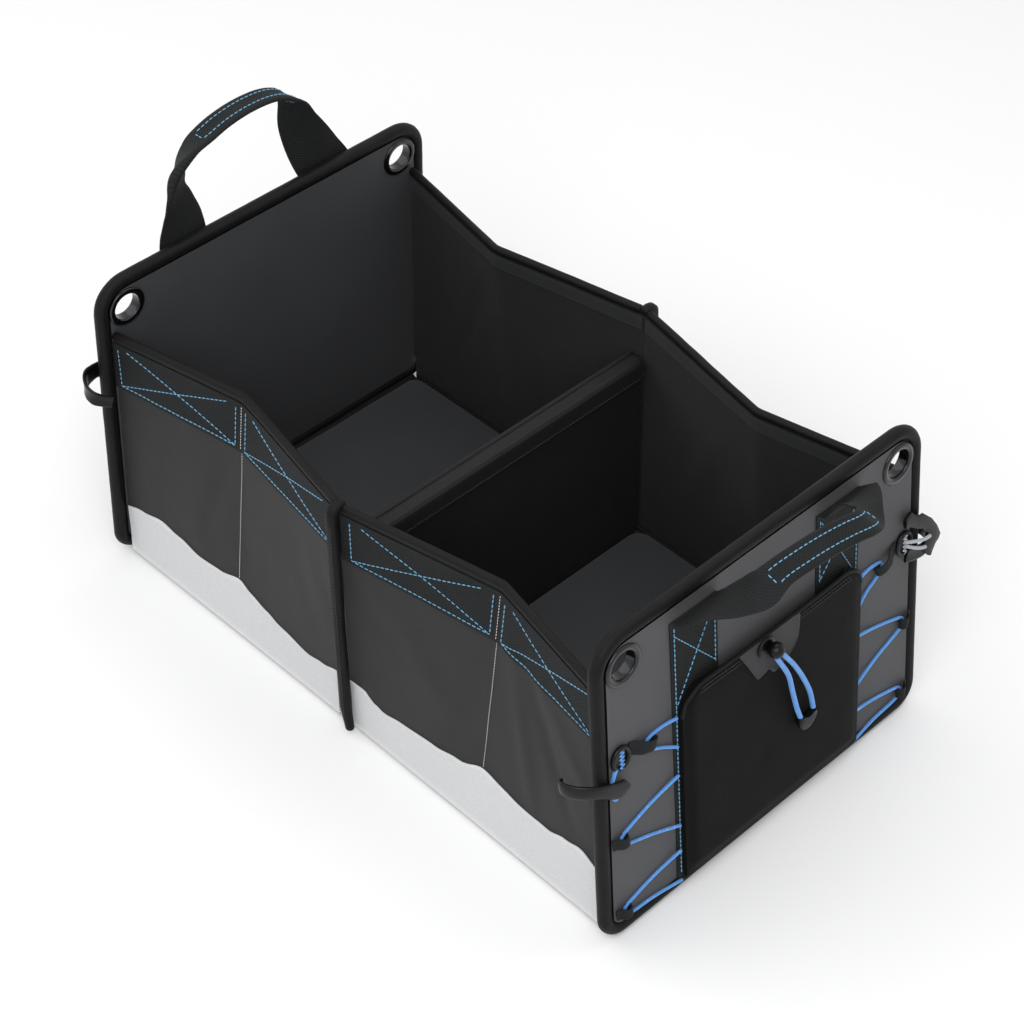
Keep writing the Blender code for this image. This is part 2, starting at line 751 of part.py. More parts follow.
def build_closure(b):
    """The patch at the pouch's mouth, its ball toggle, the loop's two legs and the cord end."""
    high = POUCH_TOP - GAP
    low = high - PATCH_H
    corners = [(-PATCH_FOOT_HALF_W, low), (PATCH_FOOT_HALF_W, low)]
    corners += [(PATCH_TOP_HALF_W, high), (-PATCH_TOP_HALF_W, high)]
    outline = rounded_outline(corners, [PATCH_T * 3] * 4, 3)
    place = (POUCH_OUT + GAP + PATCH_T / 2, 0, 0)
    patch = outline_curve("closure_patch", [outline], PATCH_T)
    b.add("closure_patch", patch, "patch", "front", place, STANDING)
    ball = bpy.data.meshes.new("toggle_ball")
    bm = bmesh.new()
    bmesh.ops.create_uvsphere(bm, u_segments=20, v_segments=12, radius=BALL_R)
    bm.to_mesh(ball)
    bm.free()
    for face in ball.polygons:
        face.use_smooth = True
    b.add("toggle_ball", ball, "plastic", "front", (BALL_X, BALL_Y, BALL_Z))
    for side, route in (("near", LEG_NEAR), ("far", LEG_FAR)):
        name = "toggle_loop_" + side
        b.add(name, tube_curve(name, through_points(route), CORD_R), "elastic", "front")
    build_cord_end(b)


def through_points(points, steps=4):
    """A smooth path through hand-placed points."""
    points = [Vector(p) for p in points]
    padded = [points[0]] + points + [points[-1]]
    path = []
    for i in range(len(points) - 1):
        path += [smooth_step(padded[i:i + 4], k / steps) for k in range(steps)]
    return path + [points[-1]]


def build_cord_end(b):
    """A half-round end piece, notched between the two legs that run into its top."""
    near, far = Vector(LEG_NEAR[-1]), Vector(LEG_FAR[-1])
    across = (far - near).normalized()
    lean = math.atan2(across.z, across.y)
    half, notch = CORD_END_HALF_W, CORD_END_NOTCH_W / 2
    outline = [(-half, 0.0)]
    for i in range(1, 10):
        a = math.pi * i / 10
        outline.append((-half * math.cos(a), -CORD_END_H * math.sin(a)))
    outline += [(half, 0.0), (notch, 0.0), (notch, -CORD_END_NOTCH_H)]
    outline += [(-notch, -CORD_END_NOTCH_H), (-notch, 0.0)]
    down = Vector((0, math.sin(lean), -math.cos(lean)))
    place = (near + far) / 2 + down * GAP * 2
    piece = outline_curve("toggle_cord_end", [outline], CORD_END_T)
    turn = (math.pi / 2, -lean, math.pi / 2)
    b.add("toggle_cord_end", piece, "plastic", "front", place, turn)


def ring_y():
    """How far out a hook's ring sits: just inside the side piping."""
    return edge_y(HOOK_RING_Z) - GAP - HOOK_RING_HALF_W - HOOK_RING_R


def first_tab_y():
    """The top tab runs in from a hook's ring."""
    high = ring_y() - HOOK_RING_HALF_W - HOOK_RING_R - GAP
    return high - FIRST_TAB_L, high


def lace_route():
    """The lacing's zigzag on one side of the pouch, as y out from the middle and z."""
    inner = LACE_INNER_Y
    first = first_tab_y()[0] - GAP - CORD_R
    turns = [edge_y(z) - TAB_L - 2 * GAP - CORD_R for z in TAB_LEVELS]
    return [
        (inner, 0.2000),
        (first, 0.1970),
        (first, 0.1900),
        (inner, 0.1660),
        (inner, 0.1340),
        (turns[1], 0.1110),
        (turns[1], 0.1020),
        (inner, 0.0780),
        (inner, 0.0480),
        (turns[2], 0.0300),
        (turns[2], 0.0210),
        (inner, 0.0170),
    ]


def build_laces(b):
    for side in ("near", "far"):
        sign = side_sign("front", side)
        path = [(LACE_X, sign * y, z) for y, z in lace_route()]
        curve = tube_curve(side + "_lace", fillet_path(path, LACE_FILLET, 2), CORD_R)
        b.add(side + "_lace", curve, "elastic", "front")
        for number, z in enumerate(TAB_LEVELS, 1):
            low, high = edge_y(z) - GAP - TAB_L, edge_y(z) - GAP
            if number == 1:
                low, high = first_tab_y()
            size = (TAB_T, high - low, TAB_H)
            place = (PANEL_FACE + GAP + TAB_T / 2, sign * (low + high) / 2, z)
            name = f"{side}_lace_tab_{number}"
            tab = b.add(name, box_mesh(name, size), "webbing", "front", place)
            soften(tab, TAB_T / 4, 1)


def hook_stations(sign, z):
    """A flat plastic arm, wide up the panel: over the side piping, out, and curled back."""
    piping_y = panel_half_w(z) - BINDING_R
    clear = HOOK_CLEAR
    shape = [
        (clear * 0.98, -0.0200),
        (clear * 1.05, -0.0060),
        (clear * 1.07, 0.0020),
        (clear * 0.96, 0.0110),
        (clear * 0.30, 0.0210),
        (-0.0100, 0.0262),
        (-0.0175, 0.0250),
        (-0.0215, 0.0210),
    ]
    return [((x, sign * (piping_y + y), z), (0, 0, 1), HOOK_W, HOOK_T) for x, y in shape]


def build_hooks(b):
    """At each corner an oval ring on the panel and a hook that wraps round the side piping."""
    oval = [
        (PANEL_FACE + GAP + HOOK_RING_R, y, z)
        for y, z in [
            (HOOK_RING_HALF_W * math.cos(math.tau * i / 16), HOOK_RING_HALF_H * math.sin(math.tau * i / 16))
            for i in range(16)
        ]
    ]
    for end in ("front", "back"):
        for side in ("near", "far"):
            sign = side_sign(end, side)
            name = f"{end}_{side}_hook"
            z = RAISED_HOOK_Z if name == "back_near_hook" else HOOK_Z
            b.add(name, strap_mesh(name, hook_stations(sign, z)), "plastic", end)
            place = (0, sign * ring_y(), HOOK_RING_Z)
            curve = tube_curve(name + "_ring", oval, HOOK_RING_R, closed=True)
            b.add(name + "_ring", curve, "plastic", end, place)


def main():
    clear_scene()
    b = Builder()
    build_panels(b)
    build_walls(b)
    build_floor(b)
    build_divider(b)
    build_handles(b)
    build_pouch(b)
    build_laces(b)
    build_hooks(b)
    bpy.context.view_layer.update()


main()
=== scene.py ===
"""Looks of the collapsible fabric storage box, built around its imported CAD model.

Everything is in metres in the model's own frame: +X is the panel with the pouch, -Y the near wall.
Places on an end panel are given as (u, y, z): out of the panel, across it and up it.
"""
import math

import bmesh
import bpy
from mathutils import Matrix, Vector, noise


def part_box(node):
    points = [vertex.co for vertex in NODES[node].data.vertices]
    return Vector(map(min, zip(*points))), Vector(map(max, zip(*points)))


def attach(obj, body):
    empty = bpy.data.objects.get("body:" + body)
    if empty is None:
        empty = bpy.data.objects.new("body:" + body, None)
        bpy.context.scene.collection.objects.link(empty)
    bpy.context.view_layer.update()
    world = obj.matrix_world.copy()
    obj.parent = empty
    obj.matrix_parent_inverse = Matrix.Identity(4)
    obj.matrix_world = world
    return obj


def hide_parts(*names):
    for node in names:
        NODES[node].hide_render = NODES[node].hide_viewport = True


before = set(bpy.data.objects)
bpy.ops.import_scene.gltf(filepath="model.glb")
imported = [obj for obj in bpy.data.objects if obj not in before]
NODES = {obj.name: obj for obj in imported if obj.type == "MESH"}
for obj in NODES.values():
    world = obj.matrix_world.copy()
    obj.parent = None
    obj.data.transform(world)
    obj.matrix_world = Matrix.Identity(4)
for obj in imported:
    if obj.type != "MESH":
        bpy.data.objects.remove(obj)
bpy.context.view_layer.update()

# Sizes of the part: most are its source's, a few follow the photograph more closely
HALF_LENGTH = 0.3179
PANEL_H = 0.320
PANEL_HALF_W_BOTTOM = 0.1967
PANEL_HALF_W_TOP = 0.1900
PANEL_T = 0.008
PANEL_TOP_R = 0.034
PANEL_BOTTOM_R = 0.025
BINDING_R = 0.0065
PIPING_R = 0.0061
LEAN = {"front": math.radians(4.97), "back": math.radians(2.78)}
GROMMET_IN = 0.0315
GROMMET_DOWN = 0.034
GROMMET_HOLE_R = 0.0130
GROMMET_FLANGE_R = 0.0190
WALL_HALF_W = 0.180
WALL_H = 0.257
WALL_T = 0.0024
WALL_SEAM = 0.002
CREASE_X = 0.158
CREASE_IN = 0.030
TOP_WEBBING_H = 0.050
INNER_HEM_H = 0.014
WEBBING_W = 0.052
WEBBING_T = 0.0020
STRIP_Y = 0.084
STRIP_OUT = 0.0063
HANDLE_HINGE_X = 0.0078
HANDLE_HINGE_Z = 0.294
GRIP_W = 0.026
GRIP_T = 0.0045
POUCH_HALF_W = 0.1068
POUCH_MIDDLE = 0.0022
POUCH_TOP = 0.222
POUCH_CORNER_R = 0.025
POUCH_IN = 0.0066
POUCH_OUT = 0.0146
POUCH_BOTTOM = 0.0148
POUCH_SKIN = 0.0018
CORD_R = 0.0022
CORD_END_TILT = math.radians(-14)

# The toggle's loop on the front panel, as (u, y, z)
LEG_NEAR = [
    (0.0245, -0.0103, 0.2033), (0.0240, -0.0080, 0.1985), (0.0228, 0.0055, 0.1725),
    (0.0205, 0.0136, 0.1470), (0.0190, 0.0207, 0.1227), (0.0185, 0.0265, 0.1058),
]
LEG_FAR = [
    (0.0245, -0.0052, 0.2060), (0.0240, -0.0010, 0.1990), (0.0228, 0.0125, 0.1785),
    (0.0205, 0.0265, 0.1530), (0.0190, 0.0368, 0.1295), (0.0185, 0.0419, 0.1080),
]
BALL = (0.0254, -0.012, 0.213)
BEAD_R = 0.0070

# Radii and sizes of the dressed pieces
TAPE_R = 0.0043
RIB_R = 0.0055
PIPING_SEAM_R = 0.0022
FLOOR_SEAM_R = 0.0028
DIVIDER_SHADOW_RIM_R = 0.0026
MOUTH_HEM_R = 0.0017
NECK_R = 0.0035
RING_R = 0.0021
LASHING_R = 0.0006
TIE_R = 0.0016
HOOK_T = 0.0028
TAB_T = 0.0012
CLAW_HALF_T = 0.0012
CORD_END_HALF_W = 0.011
CORD_END_H = 0.017
CORD_END_T = 0.007

# Stitched seams: the stitches' pitch, length and radius
CREASE_STITCH = (0.0030, 0.0019, 0.00032)
RIB_STITCH = (0.004, 0.0028, 0.0004)
HEM_STITCH = (0.004, 0.003, 0.0004)
MOUTH_STITCH = (0.0036, 0.0026, 0.0004)
TAB_STITCH = (0.003, 0.0022, 0.0004)

# Camera of the photograph: azimuth, elevation and roll, and its shift and distance from the middle
CAM_AZ, CAM_EL, CAM_ROLL = 0.8047, 0.7532, -0.0061
CAM_RIGHT, CAM_UP, CAM_BACK = -0.0094, -0.1002, 2.2698
CAM_LENS = 87.3


def srgb(*levels):
    """A linear colour from 0 to 255 display levels."""
    linear = []
    for level in levels:
        c = level / 255
        linear.append(c / 12.92 if c <= 0.04045 else ((c + 0.055) / 1.055) ** 2.4)
    return (*linear, 1.0)


def smooth_share(t):
    """0 to 1, easing in and out."""
    t = max(0.0, min(1.0, t))
    return t * t * (3 - 2 * t)


def lerp_table(table, x):
    """A smooth value between the rows of a table."""
    if x <= table[0][0]:
        return table[0][1]
    for (x0, y0), (x1, y1) in zip(table, table[1:]):
        if x <= x1:
            return y0 + (y1 - y0) * smooth_share((x - x0) / (x1 - x0))
    return table[-1][1]


def on_panel(end, u, y, z):
    """World point of a place on an end panel; y is the world's own on both."""
    sign = 1 if end == "front" else -1
    c, s = math.cos(LEAN[end]), math.sin(LEAN[end])
    return Vector((sign * (HALF_LENGTH + u * c - z * s), y, z * c + u * s))


def spline_point(a, b, c, d, t):
    """A point between b and c on a smooth line through all four."""
    bend = 2 * a - 5 * b + 4 * c - d
    twist = 3 * b - a - 3 * c + d
    return 0.5 * (2 * b + (c - a) * t + bend * t * t + twist * t ** 3)


def catmull(points, steps):
    """A smooth line through the points."""
    points = [Vector(p) for p in points]
    padded = [points[0]] + points + [points[-1]]
    path = []
    for i in range(len(points) - 1):
        path += [spline_point(*padded[i:i + 4], k / steps) for k in range(steps)]
    return path + [points[-1]]


def divide(points, step):
    """The same straight runs cut into short ones."""
    path = []
    for a, b in zip(points, points[1:]):
        a, b = Vector(a), Vector(b)
        count = max(1, round((b - a).length / step))
        path += [a.lerp(b, k / count) for k in range(count)]
    return path + [Vector(points[-1])]


def path_length(path):
    return sum((b - a).length for a, b in zip(path, path[1:]))


def levels_between(low, high, step):
    """Values from low to high, about a step apart."""
    count = max(1, round((high - low) / step))
    return [low + (high - low) * i / count for i in range(count + 1)]


def shares(count):
    """Values from -1 to 1."""
    return [2 * j / count - 1 for j in range(count + 1)]


# Materials
class Cloth:
    """Builds one procedural material; weaves run on UVs that are in metres."""

    def __init__(self, name, rough=0.5, metallic=0.0, sheen=0.0, coat=0.0, specular=0.5):
        self.mat = bpy.data.materials.new(name)
        self.mat.use_nodes = True
        self.tree = self.mat.node_tree
        self.shader = self.tree.nodes["Principled BSDF"]
        self.shader.inputs["Metallic"].default_value = metallic
        self.shader.inputs["Roughness"].default_value = rough
        self.shader.inputs["Sheen Weight"].default_value = sheen
        self.shader.inputs["Sheen Roughness"].default_value = 0.45
        self.shader.inputs["Coat Weight"].default_value = coat
        self.shader.inputs["Specular IOR Level"].default_value = specular
        self.coords = self.tree.nodes.new("ShaderNodeTexCoord")
        split = self.tree.nodes.new("ShaderNodeSeparateXYZ")
        self.tree.links.new(self.coords.outputs["UV"], split.inputs[0])
        self.u, self.v = split.outputs[0], split.outputs[1]

    def put(self, socket, value):
        if isinstance(value, bpy.types.NodeSocket):
            self.tree.links.new(value, socket)
        else:
            socket.default_value = value

    def math(self, operation, a, b=0.0):
        node = self.tree.nodes.new("ShaderNodeMath")
        node.operation = operation
        self.put(node.inputs[0], a)
        self.put(node.inputs[1], b)
        return node.outputs[0]

    def noise(self, scale, detail=3.0, rough=0.55):
        node = self.tree.nodes.new("ShaderNodeTexNoise")
        node.inputs["Scale"].default_value = scale
        node.inputs["Detail"].default_value = detail
        node.inputs["Roughness"].default_value = rough
        self.tree.links.new(self.coords.outputs["Object"], node.inputs["Vector"])
        return node.outputs["Fac"]

    def scale_add(self, value, factor, offset):
        """value * factor + offset"""
        result = self.math("MULTIPLY_ADD", value, factor)
        self.put(result.node.inputs[2], offset)
        return result

    def sine(self, coordinate, pitch):
        return self.math("SINE", self.math("MULTIPLY", coordinate, math.tau / pitch))

    def plain_weave(self, pitch):
        """Over and under threads, a checkered -1 to 1."""
        return self.math("MULTIPLY", self.sine(self.u, pitch), self.sine(self.v, pitch))

    def mix(self, share, a, b):
        node = self.tree.nodes.new("ShaderNodeMix")
        node.data_type = "RGBA"
        self.put(node.inputs[0], share)
        self.put(node.inputs[6], a)
        self.put(node.inputs[7], b)
        return node.outputs[2]

    def tint(self, tone, mask, low, high, amount, color):
        """Lays a colour over a tone where a mask is high."""
        return self.mix(self.math("MULTIPLY", self.levels(mask, low, high), amount), tone, color)

    def levels(self, value, low, high):
        node = self.tree.nodes.new("ShaderNodeMapRange")
        self.put(node.inputs[0], value)
        node.inputs[1].default_value, node.inputs[2].default_value = low, high
        return node.outputs[0]

    def pointiness(self):
        return self.tree.nodes.new("ShaderNodeNewGeometry").outputs["Pointiness"]

    def color(self, value):
        self.put(self.shader.inputs["Base Color"], value)

    def rough(self, value):
        self.put(self.shader.inputs["Roughness"], value)

    def bump(self, height, distance, strength=1.0, before=None):
        node = self.tree.nodes.new("ShaderNodeBump")
        node.inputs["Strength"].default_value = strength
        node.inputs["Distance"].default_value = distance
        self.put(node.inputs["Height"], height)
        if before:
            self.tree.links.new(before, node.inputs["Normal"])
        return node.outputs[0]

    def normal(self, value):
        self.tree.links.new(value, self.shader.inputs["Normal"])


def shade(color, factor):
    return (*[min(1.0, c * factor) for c in color[:3]], 1.0)


def woven(name, level, pitch, cloudy, wrinkle, specular=0.22, sheen=0.04, contrast=0.25, mottle=0.12):
    """A woven cloth: threads, mottled tone, faint creasing and slightly worn high edges.

    Its roughness goes from 0.5 to 0.6 with the cloudy tone, which is full at the value of cloudy.
    """
    color = srgb(*level)
    m = Cloth(name, sheen=sheen, specular=specular)
    threads = m.levels(m.plain_weave(pitch), -1.0, 1.0)
    grain = m.noise(900.0, 2.0)
    cloud = m.noise(14.0, 4.0, 0.6)
    tone = m.mix(threads, shade(color, 1 - contrast), shade(color, 1 + contrast))
    tone = m.mix(m.levels(cloud, 0.3, 0.7), tone, m.mix(mottle * 2, tone, shade(color, 1.5)))
    tone = m.tint(tone, grain, 0.45, 0.8, 0.35, shade(color, 1.6))
    m.color(m.tint(tone, m.pointiness(), 0.52, 0.62, 0.35, shade(color, 1.9)))
    m.rough(m.scale_add(m.levels(cloud, 0.2, cloudy), 0.1, 0.5))
    creased = m.bump(m.noise(55.0, 4.0, 0.6), wrinkle, 0.6)
    m.normal(m.bump(threads, 0.0003, 0.7, creased))
    return m.mat


def webbing_mat(name, color):
    """Coarse woven webbing: rows of dots across it over a finer weave."""
    m = Cloth(name, 0.7, sheen=0.01, specular=0.15)
    dots = m.levels(m.plain_weave(0.0034), -0.6, 0.9)
    fine = m.levels(m.plain_weave(0.0012), -1.0, 1.0)
    height = m.scale_add(fine, 0.35, dots)
    cloud = m.noise(22.0, 4.0)
    tone = m.mix(dots, shade(color, 0.62), shade(color, 1.5))
    tone = m.tint(tone, cloud, 0.4, 0.75, 0.35, shade(color, 1.9))
    m.color(m.tint(tone, m.pointiness(), 0.53, 0.63, 0.3, shade(color, 2.2)))
    m.normal(m.bump(height, 0.00045, 0.9))
    return m.mat


def tape_mat(name, color):
    """Binding tape pulled tight over an edge: fine ribs across it and a soft shine."""
    m = Cloth(name, 0.5, sheen=0.01, specular=0.12)
    ribs = m.levels(m.sine(m.v, 0.0011), -1.0, 1.0)
    cloud = m.noise(30.0, 4.0)
    tone = m.mix(ribs, shade(color, 0.8), shade(color, 1.25))
    m.color(m.tint(tone, cloud, 0.45, 0.8, 0.5, shade(color, 2.1)))
    lumps = m.bump(m.noise(70.0, 3.0), 0.0008, 0.5)
    m.normal(m.bump(ribs, 0.00018, 0.6, lumps))
    return m.mat


def plastic_mat(name, color):
    """Moulded plastic: a fine grain and worn edges."""
    m = Cloth(name, specular=0.22)
    grain = m.noise(420.0, 3.0)
    cloud = m.noise(60.0, 3.0)
    tone = m.mix(m.levels(cloud, 0.35, 0.75), color, shade(color, 1.5))
    m.color(m.tint(tone, m.pointiness(), 0.55, 0.7, 0.4, shade(color, 2.0)))
    m.rough(m.scale_add(cloud, 0.2, 0.24))
    m.normal(m.bump(grain, 0.00012, 0.5))
    return m.mat


def enamel_mat(name, color):
    """Black enamel on metal, worn grey at its edges."""
    m = Cloth(name, metallic=0.85, coat=0.5)
    cloud = m.noise(90.0, 4.0)
    tone = m.mix(m.levels(cloud, 0.35, 0.7), color, shade(color, 1.6))
    m.color(m.tint(tone, m.pointiness(), 0.54, 0.66, 0.5, srgb(120, 121, 124)))
    m.rough(m.scale_add(cloud, 0.25, 0.12))
    m.normal(m.bump(m.noise(300.0, 2.0), 0.0001, 0.3))
    return m.mat


def elastic_mat(name, color, fleck):
    """Braided elastic cord: slanting strands round it, with pale flecks."""
    m = Cloth(name, 0.6, sheen=0.3, specular=0.4)
    left = m.sine(m.math("ADD", m.v, m.u), 0.0023)
    right = m.sine(m.math("SUBTRACT", m.v, m.u), 0.0023)
    braid = m.levels(m.math("MULTIPLY", left, right), -1.0, 1.0)
    tone = m.mix(braid, shade(color, 0.8), shade(color, 1.12))
    m.color(m.tint(tone, m.noise(500.0, 1.0), 0.62, 0.72, 0.4, fleck))
    m.normal(m.bump(braid, 0.00025, 0.8))
    return m.mat


def thread_mat(name, color):
    """Sewing thread, fuzzy in tone."""
    m = Cloth(name, 0.55, sheen=0.2, specular=0.4)
    ply = m.levels(m.noise(1500.0, 1.0), 0.3, 0.7)
    m.color(m.mix(ply, shade(color, 0.75), shade(color, 1.15)))
    m.normal(m.bump(ply, 0.0001, 0.6))
    return m.mat


# Woven cloths: display levels, thread pitch, where the cloudy tone is full, and crease height
MATS = {
    "panel_out": woven("panel_cloth_outside", (78, 78, 80), 0.0011, 0.80, 0.0006, specular=0.15),
    # The panel's cloth on its inner face: the same cloth as outside, made darker as painted shade of the
    # box's inside
    "panel_in_shaded": woven("panel_cloth_inside_painted_shade", (60, 61, 63), 0.0011, 0.80, 0.0006),
    "wall": woven("wall_cloth", (38, 38, 39), 0.0010, 0.67, 0.0012, specular=0.16),
    "silver": woven("silver_cloth", (203, 204, 206), 0.0010, 0.45, 0.0010, specular=0.5, sheen=0.0,
                    contrast=0.04, mottle=0.02),
    "binding": tape_mat("binding_tape", srgb(15, 15, 16)),
    "webbing": webbing_mat("webbing", srgb(25, 26, 27)),
    "board": woven("board_cloth", (62, 63, 65), 0.0011, 0.80, 0.0005),
    "hem": woven("inner_hem_cloth", (46, 47, 48), 0.0011, 0.80, 0.0006, specular=0.15),
    # Near black: the divider's dark cloth with the shade that falls inside the box painted into it
    "divider": woven("divider_cloth_painted_shade", (12, 12, 12), 0.0011, 0.85, 0.0010),
    "pouch": woven("pouch_cloth", (11, 11, 11), 0.0009, 0.70, 0.0009, specular=0.05, sheen=0.01),
    "patch": woven("patch_cloth", (56, 56, 57), 0.0010, 0.65, 0.0006, specular=0.15),
    "eyelet": enamel_mat("eyelet_enamel", srgb(26, 27, 29)),
    "plastic": plastic_mat("black_plastic", srgb(9, 9, 9)),
    "elastic": elastic_mat("blue_elastic", srgb(80, 150, 228), srgb(190, 215, 245)),
    "grey_elastic": elastic_mat("grey_elastic", srgb(170, 175, 182), srgb(230, 232, 235)),
    "blue_thread": thread_mat("blue_thread", srgb(104, 168, 205)),
    "white_thread": thread_mat("white_thread", srgb(225, 226, 228)),
    "dark_thread": thread_mat("dark_thread", srgb(17, 17, 18)),
}


# Meshes
def merge_points(mesh, distance):
    bm = bmesh.new()
    bm.from_mesh(mesh)
    bmesh.ops.remove_doubles(bm, verts=bm.verts, dist=distance)
    bmesh.ops.recalc_face_normals(bm, faces=bm.faces)
    bm.to_mesh(mesh)
    bm.free()


def weld(obj):
    merge_points(obj.data, 1e-6)
    return obj


def link_new(name, data):
    """A new object in the scene."""
    obj = bpy.data.objects.new(name, data)
    bpy.context.scene.collection.objects.link(obj)
    return obj


def mesh_object(name, verts, faces, uvs, mat, sharp=None):
    """An object from vertices, faces and a UV in metres for each vertex."""
    mesh = bpy.data.meshes.new(name)
    mesh.from_pydata([tuple(v) for v in verts], [], faces)
    layer = mesh.uv_layers.new(name="UVMap")
    for loop in mesh.loops:
        layer.data[loop.index].uv = uvs[loop.vertex_index]
    merge_points(mesh, 1e-7)
    for face in mesh.polygons:
        face.use_smooth = True
    if sharp:
        mesh.set_sharp_from_angle(angle=math.radians(sharp))
    mesh.materials.append(MATS[mat])
    return link_new(name, mesh)


def place(obj, body, slot, *nodes):
    """Says what a piece rides on and which CAD nodes it replaces; its slot argument is not used."""
    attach(obj, body)
    if nodes:
        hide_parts(*nodes)
    return obj


def slab(name, low, high, uv, mat, sharp=50):
    """A closed sheet between two grids of points; uv holds one pair for each point."""
    rows, cols = len(low), len(low[0])
    count = rows * cols
    verts = [p for row in low for p in row] + [p for row in high for p in row]
    flat = [pair for row in uv for pair in row]
    faces = []
    for r in range(rows - 1):
        for c in range(cols - 1):
            a = r * cols + c
            quad = (a, a + 1, a + cols + 1, a + cols)
            faces.append(quad)
            faces.append(tuple(i + count for i in reversed(quad)))
    rim = list(range(cols)) + [r * cols + cols - 1 for r in range(1, rows)]
    rim += [(rows - 1) * cols + c for c in range(cols - 2, -1, -1)]
    rim += [r * cols for r in range(rows - 2, 0, -1)]
    for i, a in enumerate(rim):
        b = rim[(i + 1) % len(rim)]
        faces.append((a, b, b + count, a + count))
    return mesh_object(name, verts, faces, flat + flat, mat, sharp=sharp)


def frames_along(path, closed=False, up=None):
    """A direction and two cross directions at each point, turning as little as they can."""
    n = len(path)
    ahead = []
    for i in range(n):
        a = path[(i - 1) % n] if closed else path[max(i - 1, 0)]
        b = path[(i + 1) % n] if closed else path[min(i + 1, n - 1)]
        ahead.append((b - a).normalized())
    side = Vector(up) if up else (Vector((0, 0, 1)) if abs(ahead[0].z) < 0.9 else Vector((1, 0, 0)))
    out = []
    for direction in ahead:
        side = (side - direction * side.dot(direction)).normalized()
        out.append((direction, side, direction.cross(side).normalized()))
    return out


def tube_end(verts, uvs, faces, ring, point, ahead, r):
    """Closes a tube with a low dome."""
    last = ring
    for part in (0.5, 0.85):
        core = point + ahead * r * 0.6 * part
        spread = math.sqrt(1 - part * part)
        grown = []
        for k in ring:
            verts.append(core + (verts[k] - point) * spread)
            uvs.append(uvs[k])
            grown.append(len(verts) - 1)
        join_rings(faces, last, grown)
        last = grown
    verts.append(point + ahead * r * 0.6)
    uvs.append(uvs[ring[0]])
    tip = len(verts) - 1
    for a, b in zip(last, last[1:]):
        faces.append((a, b, tip))


def join_rings(faces, one, two):
    for k in range(len(one) - 1):
        faces.append((one[k], one[k + 1], two[k + 1], two[k]))


def tube(name, path, radius, mat, sides=12, closed=False, flat=1.0, up=None):
    """A round or flattened tube with rounded ends; radius may be a function of the share along it."""
    path = [Vector(p) for p in path]
    frames = frames_along(path, closed, up)
    radii = [radius(i / (len(path) - 1)) if callable(radius) else radius for i in range(len(path))]
    verts, uvs, faces, rings = [], [], [], []
    along = 0.0
    for i, (point, (_, side, other), r) in enumerate(zip(path, frames, radii)):
        if i:
            along += (point - path[i - 1]).length
        rings.append(list(range(len(verts), len(verts) + sides + 1)))
        for k in range(sides + 1):
            a = math.tau * k / sides
            verts.append(point + side * r * math.cos(a) + other * r * flat * math.sin(a))
            uvs.append((r * a, along))
    for one, two in zip(rings, rings[1:]):
        join_rings(faces, one, two)
    if closed:
        join_rings(faces, rings[-1], rings[0])
    else:
        tube_end(verts, uvs, faces, rings[0], path[0], -frames[0][0], radii[0])
        tube_end(verts, uvs, faces, rings[-1], path[-1], frames[-1][0], radii[-1])
    return weld(mesh_object(name, verts, faces, uvs, mat))


def lathe(name, profile, steps, mat, matrix, closed=True):
    """A turned piece from (radius, height) points, about local z."""
    verts, uvs, faces = [], [], []
    count = len(profile)
    for i in range(steps):
        a = math.tau * i / steps
        for k, (r, h) in enumerate(profile):
            verts.append(matrix @ Vector((r * math.cos(a), r * math.sin(a), h)))
            uvs.append((r * a, h))
    for i in range(steps):
        for k in range(count if closed else count - 1):
            a, b = i * count + k, i * count + (k + 1) % count
            c, d = (i + 1) % steps * count + (k + 1) % count, (i + 1) % steps * count + k
            faces.append((a, b, c, d))
    return mesh_object(name, verts, faces, uvs, mat)


def panel_matrix(end, u, y, z):
    """Local z points out of the panel and local y up it."""
    sign = 1 if end == "front" else -1
    origin = on_panel(end, u, y, z)
    out = (on_panel(end, u + 1, y, z) - origin).normalized()
    up = (on_panel(end, u, y, z + 1) - origin).normalized()
    across = up.cross(out)
    matrix = Matrix((across, up, out)).transposed().to_4x4()
    matrix.translation = origin
    return matrix


class Stitches:
    """Collects short raised stitches and makes one object of them."""

    def __init__(self, name, body, mat, slot):
        self.name, self.body, self.mat, self.slot = name, body, mat, slot
        self.verts, self.uvs, self.faces = [], [], []

    def run(self, path, pitch=0.0050, length=0.0034, radius=0.00055):
        """Stitches along a line of points that lies on the cloth."""
        path = [Vector(p) for p in path]
        lengths = [0.0]
        for a, b in zip(path, path[1:]):
            lengths.append(lengths[-1] + (b - a).length)
        total = lengths[-1]
        count = max(1, int(total / pitch))
        spare = (total - (count - 1) * pitch - length) / 2
        for i in range(count):
            start = max(0.0, spare) + i * pitch
            self.stitch([self.at(path, lengths, start + length * t) for t in (0, 0.5, 1)], radius)

    @staticmethod
    def at(path, lengths, distance):
        for i in range(len(path) - 1):
            if distance <= lengths[i + 1] or i == len(path) - 2:
                span = max(1e-9, lengths[i + 1] - lengths[i])
                return path[i].lerp(path[i + 1], (distance - lengths[i]) / span)

    def stitch(self, points, radius):
        ahead = (points[2] - points[0]).normalized()
        side = ahead.cross(Vector((0.3, 0.2, 0.93))).normalized()
        other = ahead.cross(side)
        rings = []
        for point, share in zip(points, (0.75, 1.0, 0.75)):
            ring = []
            for k in range(5):
                a = math.tau * k / 5
                self.verts.append(point + (side * math.cos(a) + other * math.sin(a)) * radius * share)
                self.uvs.append((radius * a, 0.0))
                ring.append(len(self.verts) - 1)
            rings.append(ring)
        for one, two in zip(rings, rings[1:]):
            for k in range(5):
                self.faces.append((one[k], one[(k + 1) % 5], two[(k + 1) % 5], two[k]))
        self.faces.append(tuple(reversed(rings[0])))
        self.faces.append(tuple(rings[-1]))

    def make(self):
        obj = mesh_object(self.name, self.verts, self.faces, self.uvs, self.mat)
        return place(obj, self.body, self.slot)


